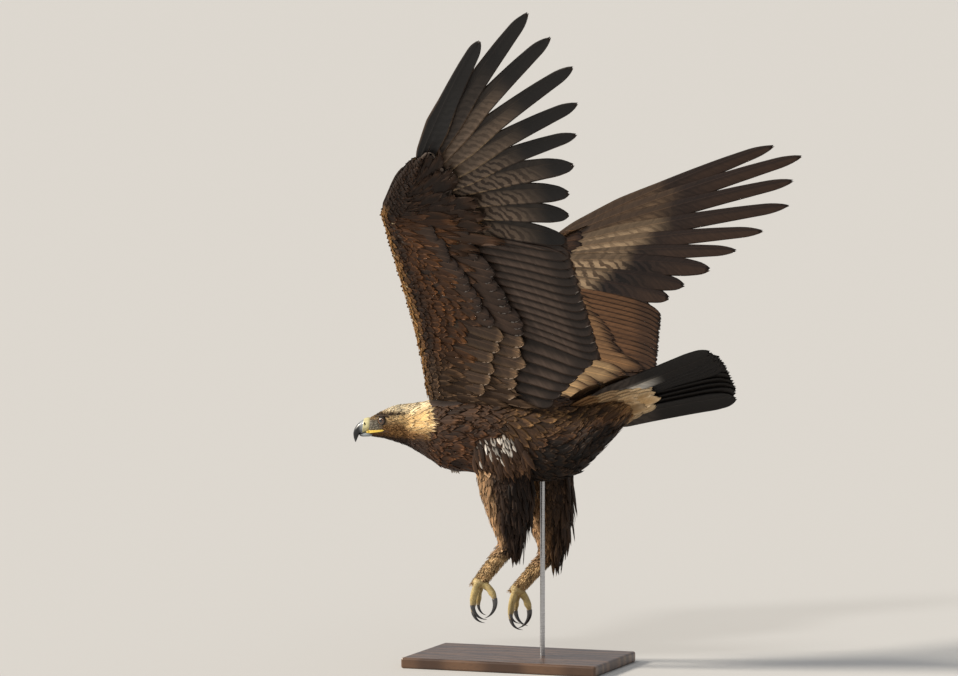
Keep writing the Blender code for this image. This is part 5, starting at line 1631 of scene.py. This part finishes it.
def add_leg_coat(name, leg):
    side = leg["side"]
    coat = Coat(f"leg_feathers_{name}", "leg_feathers", CONTOUR)
    rings = evened(leg_rings(leg, LEG_SHEET_DEPTH, 64))
    share = np.linspace(0, 1, len(rings))
    middles = rings.mean(1, keepdims=True)
    fluff = SHANK_FLUFF * smooth(0.50, 0.64, share)
    rings = rings + unit(rings - middles) * fluff[:, None, None]
    sheet = Sheet(rings, True, 1)
    if ((rings[6, 0] - middles[6, 0]) @ sheet.normals[6, 0]) < 0:
        sheet.normals = -sheet.normals
    u, v = sheet.scatter(LEG_SIZES, 0.03, 0.985)
    roots, _ = sheet.at(u, v)
    du, _ = sheet.slopes(u, v)
    _, _, length, width, lift = table(LEG_SIZES, u)
    ground, rim = leg_tints_and_light(roots, side, u)
    drumstick = u < HEEL_AT
    for some, blade, outline, sink in ((drumstick, BODY, LANCE, 0.001),
                                       (~drumstick, SMALL, HACKLE, SHANK_FLUFF)):
        lengths = length[some] * RNG.uniform(0.8, 1.2, int(some.sum()))
        points, run, beside = lay(sheet, u[some], v[some], du[some], lengths, width[some], blade, outline,
                                  sink=sink, lift=lift[some], jag=0.09, thickness=0.0005, curl=0.09)
        tint = edged(blade, ground[some], rim[some], 0.9) * cloud(roots[some], 0.028, 0.35)[:, None, None]
        coat.add(points, blade, run, beside, patches(u[some], v[some], blade), tint)
    locks = np.array([lock for tier in range(len(TROUSERS)) for lock in trouser_tier(leg, tier)])
    roots, aims, normals, sizes, at = np.split(locks, (3, 6, 9, 11), axis=1)
    sag, sweep = RNG.normal(0.03, 0.02, len(roots)), RNG.normal(0, 0.045, len(roots))
    points, run, beside = vanes(roots, aims, normals, sizes[:, 0], sizes[:, 1], BODY, LANCE, 0.12,
                                camber=0.22, sag=sag, sweep=sweep, thickness=0.0006, jag=0.10, **TUFT_VANE)
    ground, rim = leg_tints_and_light(roots, side, np.zeros(len(roots)))
    tint = edged(BODY, ground, rim, 0.8) * cloud(roots, 0.028, 0.35)[:, None, None]
    coat.add(points, BODY, run, beside, patches(at[:, 0], at[:, 1], BODY), tint)
    coat.finish_piece()


# Head
BILL_WAIST = 0.36
BILL_UPPER = (
    (0.0225, 0.0020, 0.0225, -0.0200, 0.0112),
    (0.0293, 0.0050, 0.0293, -0.0218, 0.0134),
    (0.0375, 0.0030, 0.0370, -0.0242, 0.0117),
    (0.0455, -0.0022, 0.0435, -0.0262, 0.0098),
    (0.0530, -0.0090, 0.0480, -0.0284, 0.0078),
    (0.0592, -0.0178, 0.0500, -0.0312, 0.0060),
    (0.0620, -0.0272, 0.0518, -0.0352, 0.0042),
    (0.0612, -0.0368, 0.0540, -0.0402, 0.0025),
    (0.0578, -0.0456, 0.0566, -0.0464, 0.0007),
)
BILL_LOWER = (
    (0.0215, -0.0235, 0.0215, -0.0330, 0.0090),
    (0.0283, -0.0227, 0.0283, -0.0348, 0.0108),
    (0.0385, -0.0251, 0.0385, -0.0352, 0.0090),
    (0.0450, -0.0272, 0.0450, -0.0348, 0.0066),
    (0.0492, -0.0288, 0.0488, -0.0328, 0.0030),
)
CERE_END = 0.0410
CERE_STEP = 0.0006
NOSTRIL = (0.0372, -0.0080)
NOSTRIL_SIZE = (0.0034, 0.0016)
NOSTRIL_SLOPE = (0.45, 0.89)


def head_half_width(x, z):
    order = HEAD_RINGS[::-1]
    top, bottom, half_width = table(order, x)
    waist = bottom + WAIST * (top - bottom)
    reach = top - waist if z > waist else waist - bottom
    return half_width * math.sqrt(max(1 - ((z - waist) / reach) ** 2, 0.0))


def bill_rings(rows, around=96):
    rings = []
    for row in rows:
        ridge, edge = in_head(row[0], 0.0, row[1]), in_head(row[2], 0.0, row[3])
        height = float(np.linalg.norm(ridge - edge))
        up = (ridge - edge) / height
        below = height * BILL_WAIST
        rings.append(ellipse(edge + up * below, HEAD_LEFT, up, row[4], height - below, below, around))
    return densified(rings, 14, 26)


HORN_TINT = (0.260, 0.285, 0.300)
HORN_TIP_TINT = (0.005, 0.006, 0.007)
RIDGE_TINT = (0.06, 0.062, 0.068)
CERE_TINT = (0.60, 0.54, 0.28)
NOSTRIL_SHADE_TINT = (0.010, 0.009, 0.008)
NOSTRIL_DEPTH = 0.0032


def add_bill(horn):
    """Both halves of the bill, dark at the tip; the upper one has the cere and the nostrils."""
    for name, rows in (("bill_upper", BILL_UPPER), ("bill_lower", BILL_LOWER)):
        points, quads, ends = loft(bill_rings(rows))
        hx, hy, hz = head_place(level(points))
        tip = smooth(0.042, 0.0535, hx - 0.25 * (hz + 0.012))
        if name == "bill_lower":
            tint = mix(HORN_TINT, HORN_TIP_TINT, tip)
        else:
            tint = mix(HORN_TINT, HORN_TIP_TINT, np.maximum(tip, smooth(-0.030, -0.036, hz)))
            tint = mix(tint, RIDGE_TINT, bump(0.0, 0.0035, hy) * smooth(0.041, 0.050, hx) * 0.8)
            cere = smooth(CERE_END + 0.0006, CERE_END - 0.0004, hx + 0.12 * (hz + 0.008))
            # the nostrils: sunk in and painted nearly black, painted shade inside the openings
            dx, dz = hx - NOSTRIL[0], hz - NOSTRIL[1]
            along = dx * NOSTRIL_SLOPE[0] + dz * NOSTRIL_SLOPE[1]
            off = dx * NOSTRIL_SLOPE[1] - dz * NOSTRIL_SLOPE[0]
            hole = smooth(1.15, 0.55, np.sqrt((along / NOSTRIL_SIZE[0]) ** 2 + (off / NOSTRIL_SIZE[1]) ** 2))
            tint = mix(mix(tint, CERE_TINT, cere), NOSTRIL_SHADE_TINT, hole)
            away = unit(points - in_head(hx, 0.0, -0.012) + HEAD_LEFT * 1e-6)
            inward = HEAD_LEFT * np.sign(hy)[:, None] * (hole * NOSTRIL_DEPTH)[:, None]
            points = points + away * (CERE_STEP * cere)[:, None] - inward
        finish_solid(solid_object(name, (level(points), quads, ends)), tint, horn, "bill", name)


MOUTH_LEVEL = -0.0222
MOUTH_SLOPE = 0.06
BILL_BASE = 0.030
# Half the bill's width where the lips run beside it
BILL_HALF_WIDTH = ((0.030, 0.0128), (0.0375, 0.0112))
GAPE_TINT = (0.80, 0.56, 0.075)


def add_gape(finish):
    """The yellow lips of the mouth, from the bill back to below each eye."""
    for name, side in (("left", 1), ("right", -1)):
        for lip, up in (("upper", 1), ("lower", -1)):
            share = np.linspace(0, 1, 26)
            xs = 0.0350 - share * 0.0380
            path, radii = [], []
            for x, s in zip(xs, share):
                z = MOUTH_LEVEL + MOUTH_SLOPE * (0.0303 - x) - 0.0018 + 0.0026 * s**2
                radius = 0.0017 * (1 - 0.45 * s) * float(smooth(1.03, 0.85, s) * smooth(-0.06, 0.16, s))
                half = head_half_width(x, z) if x < BILL_BASE else float(table(BILL_HALF_WIDTH, x))
                path.append(in_head(x, side * (half - 0.0005), z + up * radius * 0.9))
                radii.append(max(radius, 0.0002))
            piece = solid_object(f"gape_{lip}_{name}", loft(level(tube_rings(path, radii, UP, 14))))
            finish_solid(piece, GAPE_TINT, finish, "bill")


LID_RADIUS = 0.0084
LID_TINT = (0.030, 0.024, 0.018)
BROW_TINT = (0.045, 0.027, 0.017)
# Ahead of the eye, above it, and how far out from the head's solid the brow lies
BROW = (
    (0.018, 0.0062, -0.0040),
    (0.012, 0.0092, -0.0008),
    (0.004, 0.0108, 0.0004),
    (-0.006, 0.0103, -0.0002),
    (-0.014, 0.0072, -0.0030),
    (-0.018, 0.0050, -0.0050),
)


def iris_finish():
    """A wet eye: pupil, brown iris with rays, and a dark rim, by the angle from its axis."""
    made = Nodes("eye", Roughness=0.04, Coat_Weight=1.0, Coat_Roughness=0.02, Specular_IOR_Level=0.6)
    ring, turn, _ = made.add("SeparateXYZ", {0: made.add("UVMap", uv_map="iris").outputs[0]}).outputs
    rays = made.noise(made.scaled((turn, 60.0), (ring, 3.0)), 1.0)
    brown = made.blend(made.span(rays, 0.3, 0.7), rgba((0.050, 0.018, 0.006)), rgba((0.17, 0.070, 0.018)))
    brown = made.blend(made.span(ring, 0.52, 0.66), brown, rgba((0.020, 0.009, 0.005)))
    made.colour(made.blend(made.span(ring, 0.25, 0.29), rgba((0.002, 0.002, 0.002)), brown))
    return made.material


def add_eyeball(name, middle, axes, finish):
    points, local, faces = ball(middle, axes, [EYE_RADIUS] * 3, 64, 48)
    points = points + axes[2] * (smooth(0.62, 1.0, local[:, 2]) * 0.0006)[:, None]
    mesh = bare_mesh(f"eyeball_{name}", points, faces)
    angle = np.arccos(np.clip(local[:, 2], -1, 1))
    uv = np.stack([angle / 1.2, np.arctan2(np.abs(local[:, 1]), local[:, 0]) / math.pi], -1)
    corner = np.zeros(len(mesh.loops), np.int32)
    mesh.loops.foreach_get("vertex_index", corner)
    layer = mesh.uv_layers.new(name="iris")
    layer.uv.foreach_set("vector", uv[corner].astype(np.float32).ravel())
    mesh.polygons.foreach_set("use_smooth", np.ones(len(mesh.polygons), bool))
    mesh.materials.append(finish)
    eye = placed(f"eyeball_{name}", mesh)
    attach(eye, "root")
    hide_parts(f"eye_{name}")


def add_lid(name, middle, axes, finish):
    """A ring of skin round the open eye, thicker and lower above it."""
    across, up, axis = axes
    rings = []
    for turn in np.linspace(0, 2 * np.pi, 49)[:-1]:
        way = across * math.cos(turn) + up * math.sin(turn)
        above = max(math.sin(turn), 0.0)
        radius = LID_RADIUS * 0.97 * (1.0 - 0.16 * above**2)
        centre = middle + way * radius + axis * math.sqrt(EYE_RADIUS**2 - radius**2)
        size = 0.00125 + 0.0004 * above
        outward = unit(centre - middle)
        across_lid = np.cross(unit(np.cross(axis, way)), outward)
        rings.append(ellipse(centre, across_lid, outward, size * 1.15, size * 0.75, size, 14))
    rings = np.array(rings)
    count, around = rings.shape[:2]
    k, r = np.meshgrid(np.arange(around), np.arange(count))
    n, s = (k + 1) % around, (r + 1) % count
    quads = np.stack([r * around + k, s * around + k, s * around + n, r * around + n], -1).reshape(-1, 4)
    make_piece(f"lid_{name}", rings.reshape(-1, 3), quads, finish, "toe_skin", LID_TINT)


def add_brow(name, side, finish):
    path = np.array([in_head(x, side * (head_half_width(x, z) + out), z) for x, z, out in BROW])
    path = densified(path[:, None], 6, 12)[:, 0]
    radii = 0.0005 + 0.0015 * np.sin(np.pi * np.linspace(0, 1, len(path))) ** 0.8
    brow = solid_object(f"brow_{name}", loft(level(tube_rings(path, radii, UP, 16, 0.8))))
    finish_solid(brow, BROW_TINT, finish, "nape_feathers")


def add_eyes():
    iris = iris_finish()
    lid = tinted("lid", 0.6, 700.0, 0.0003, Specular_IOR_Level=0.2)
    for name, side in (("left", 1), ("right", -1)):
        middle, axis = eye_frame(side)
        across = unit(np.cross(axis, UP))
        axes = (across, np.cross(across, axis), axis)
        add_eyeball(name, middle, axes, iris)
        add_lid(name, middle, axes, lid)
        add_brow(name, side, lid)


# Feet
def digit(start, azimuth, bends, length, steps):
    ahead = np.array([math.cos(azimuth), math.sin(azimuth), 0.0])
    path, point = [start], start
    for k in range(steps):
        pitch = bends[0] + (bends[1] - bends[0]) * (k + 0.5) / steps
        point = point + (ahead * math.cos(pitch) + UP * math.sin(pitch)) * length / steps
        path.append(point)
    return path


FOOT_TINT = (0.56, 0.43, 0.19)
TOE_TINT, TOE_END_TINT = (0.60, 0.47, 0.20), (0.36, 0.27, 0.14)
CLAW_TINT, CLAW_END_TINT = (0.055, 0.052, 0.052), (0.014, 0.014, 0.016)
TOE_STEPS, TOE_ROUND = 64, 28
CLAW_STEPS, CLAW_ROUND = 40, 24
SCUTE_LENGTH = 0.0042


def along_tube(values, around):
    """Values along a tube, repeated for the points of its rings and of its two ends."""
    return np.append(np.repeat(values, around), (0, 1))


def add_toe(name, azimuth, start, bends, length, radius, flip, skin):
    """One toe with scutes above and pads below; returns the line down its middle."""
    across = np.array([-math.sin(azimuth), math.cos(azimuth), 0.0])
    path = np.array(digit(start, azimuth, bends, length, TOE_STEPS))
    share = np.linspace(0, 1, TOE_STEPS + 1)
    body = radius * curve(TOE_SWELL, share, 0.06)
    scute = 1 + 0.050 * np.abs(np.sin(share * math.pi * length / SCUTE_LENGTH))
    pads = 1 + 0.16 * (bump(0.36, 0.16, share) + bump(0.72, 0.16, share))
    rings = []
    for k, point in enumerate(path):
        ahead = unit(path[min(k + 1, TOE_STEPS)] - path[max(k - 1, 0)])
        up = np.cross(across, ahead) * -1
        if up @ np.array([math.cos(azimuth), math.sin(azimuth), 0.3]) < 0:
            up = -up
        rings.append(ellipse(point, across, up, body[k], body[k] * scute[k], body[k] * pads[k], TOE_ROUND))
    tint = mix(TOE_TINT, TOE_END_TINT, along_tube(smooth(0.80, 1.0, share), TOE_ROUND))
    toe = solid_object(f"toes_{name}", loft(level(np.array(rings) * flip)))
    finish_solid(toe, tint, skin, "toe_skin", f"toe_{name}")
    return path


def add_claw(name, azimuth, path, bend, length, flip, horn):
    """The claw that grows from the end of a toe's line and curls on from its last bend."""
    across = np.array([-math.sin(azimuth), math.cos(azimuth), 0.0])
    start = path[-1] - unit(path[-1] - path[-2]) * 0.0012
    path = np.array(digit(start, azimuth, (bend, bend - CLAW_TURN), length, CLAW_STEPS))
    share = np.linspace(0, 1, CLAW_STEPS + 1)
    radii = CLAW_SLIMNESS * length * curve(CLAW_TAPER, share, 0.05)
    tint = mix(CLAW_TINT, CLAW_END_TINT, along_tube(smooth(0.05, 0.5, share), CLAW_ROUND))
    rings = tube_rings(path, radii, across, CLAW_ROUND, 1.12)
    claw = solid_object(f"talon_{name}", loft(level(rings * flip)))
    finish_solid(claw, tint, horn, "claw", f"claw_{name}")


def add_feet():
    skin, horn = scaly("toe_skin"), tinted("claw_horn", 0.22, 90.0, 0.0002, 0.3, Coat_Weight=0.4)
    for name, leg in LEGS.items():
        foot, flip = np.array(leg["foot"]), np.array([1, leg["side"], 1])
        axes = (np.array([1.0, 0, 0]), np.array([0, 1.0, 0]), UP)
        points, _, faces = ball(foot, axes, [size * 0.98 for size in KNUCKLE], 40, 24)
        knuckle = placed(f"foot_{name}", closed_mesh("knuckle", level(points * flip), faces))
        finish_solid(knuckle, FOOT_TINT, skin, "toe_skin")
        for toe, (turn, beside, bends, length, radius, claw) in TOES.items():
            azimuth = math.radians(turn)
            bends = [math.radians(bend) for bend in bends or leg["hind"]]
            start = foot + np.array([0.0, beside, 0.0])
            path = add_toe(f"{toe}_{name}", azimuth, start, bends, length, radius, flip, skin)
            add_claw(f"{toe}_{name}", azimuth, path, bends[1], claw, flip, horn)


# Stand and stage
def dress_stand():
    for node, finish in (("stand_base", wood("walnut")), ("stand_rod", steel("brushed_steel"))):
        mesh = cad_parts[node].data
        mesh.materials.clear()
        mesh.materials.append(finish)


FLOOR_REACH = 250.0
FLOOR_COLOUR = (0.60, 0.59, 0.575)
SKY_COLOUR = (0.93, 0.95, 0.98)
SKY_STRENGTH = 0.42
# Name, where it shines from, strength, width in degrees and colour
SUNS = (
    ("key", (-0.80, -0.34, 0.50), 4.4, 12, (1.0, 0.92, 0.80)),
    ("fill", (-0.22, -0.60, 0.77), 0.5, 10, (1.0, 0.98, 0.95)),
)


def add_stage():
    far = FLOOR_REACH
    corners = [(-far, -far, 0), (far, -far, 0), (far, far, 0), (-far, far, 0)]
    mesh = bare_mesh("floor", corners, [(0, 1, 2, 3)])
    made = Nodes("floor", Base_Color=rgba(FLOOR_COLOUR), Roughness=0.95, Specular_IOR_Level=0.1)
    mesh.materials.append(made.material)
    placed("floor", mesh)


# The picture is 958 x 676; the shoulders' middle lies this far right of and below its middle, in pixels
PICTURE_WIDTH = 958
SHOULDERS_RIGHT = -13
SHOULDERS_BELOW = 68
CAMERA_AZIMUTH = math.radians(20)
CAMERA_ELEVATION = math.radians(5)
CAMERA_DISTANCE = 12.0
METRES_PER_PIXEL = 0.00205


def add_camera():
    data = bpy.data.cameras.new("camera")
    camera = placed("camera", data)
    flat, rise = math.cos(CAMERA_ELEVATION), math.sin(CAMERA_ELEVATION)
    way = Vector((math.sin(CAMERA_AZIMUTH) * flat, -math.cos(CAMERA_AZIMUTH) * flat, rise))
    camera.location = Vector(SHOULDERS) + way * CAMERA_DISTANCE
    camera.rotation_euler = (-way).to_track_quat("-Z", "Y").to_euler()
    data.sensor_width = 36.0
    data.lens = data.sensor_width * CAMERA_DISTANCE / (PICTURE_WIDTH * METRES_PER_PIXEL)
    data.shift_x = -SHOULDERS_RIGHT / PICTURE_WIDTH
    data.shift_y = SHOULDERS_BELOW / PICTURE_WIDTH
    data.clip_end = 1000.0
    bpy.context.scene.camera = camera


def light_scene():
    world = bpy.data.worlds.new("studio")
    bpy.context.scene.world = world
    world.use_nodes = True
    back = world.node_tree.nodes["Background"]
    back.inputs["Color"].default_value = rgba(SKY_COLOUR)
    back.inputs["Strength"].default_value = SKY_STRENGTH
    for name, way, strength, width, colour in SUNS:
        data = bpy.data.lights.new(name, "SUN")
        data.energy, data.angle, data.color = strength, math.radians(width), colour
        placed(name, data).rotation_euler = (-Vector(way)).to_track_quat("-Z", "Y").to_euler()
    bpy.context.scene.view_settings.view_transform = "Standard"
    bpy.context.scene.view_settings.look = "None"


def main():
    light_scene()
    add_camera()
    add_stage()
    dress_stand()
    sheet = trunk_sheet()
    add_skin(sheet)
    horn = tinted("bill_horn", 0.34, 160.0, 0.0002, 0.12, Coat_Weight=0.15)
    add_bill(horn)
    add_gape(tinted("gape", 0.40, 500.0, 0.0002))
    add_eyes()
    coats = [(Coat(name, slot_name, CONTOUR), low, high) for name, slot_name, low, high in TRUNK_COATS]
    lay_trunk(sheet, coats)
    for coat, _, _ in coats:
        coat.finish_piece()
    for name, held in WINGS.items():
        axes = wing_frame(held)
        rows = quills(axes, held)
        add_flight_feathers(name, held, rows)
        add_long_coverts(name, held, rows, axes)
        add_small_coverts(name, held, rows, axes)
    add_tail()
    for name, leg in LEGS.items():
        add_leg_coat(name, leg)
    add_thigh_tops()
    add_breast_tuft()
    add_feet()


main()
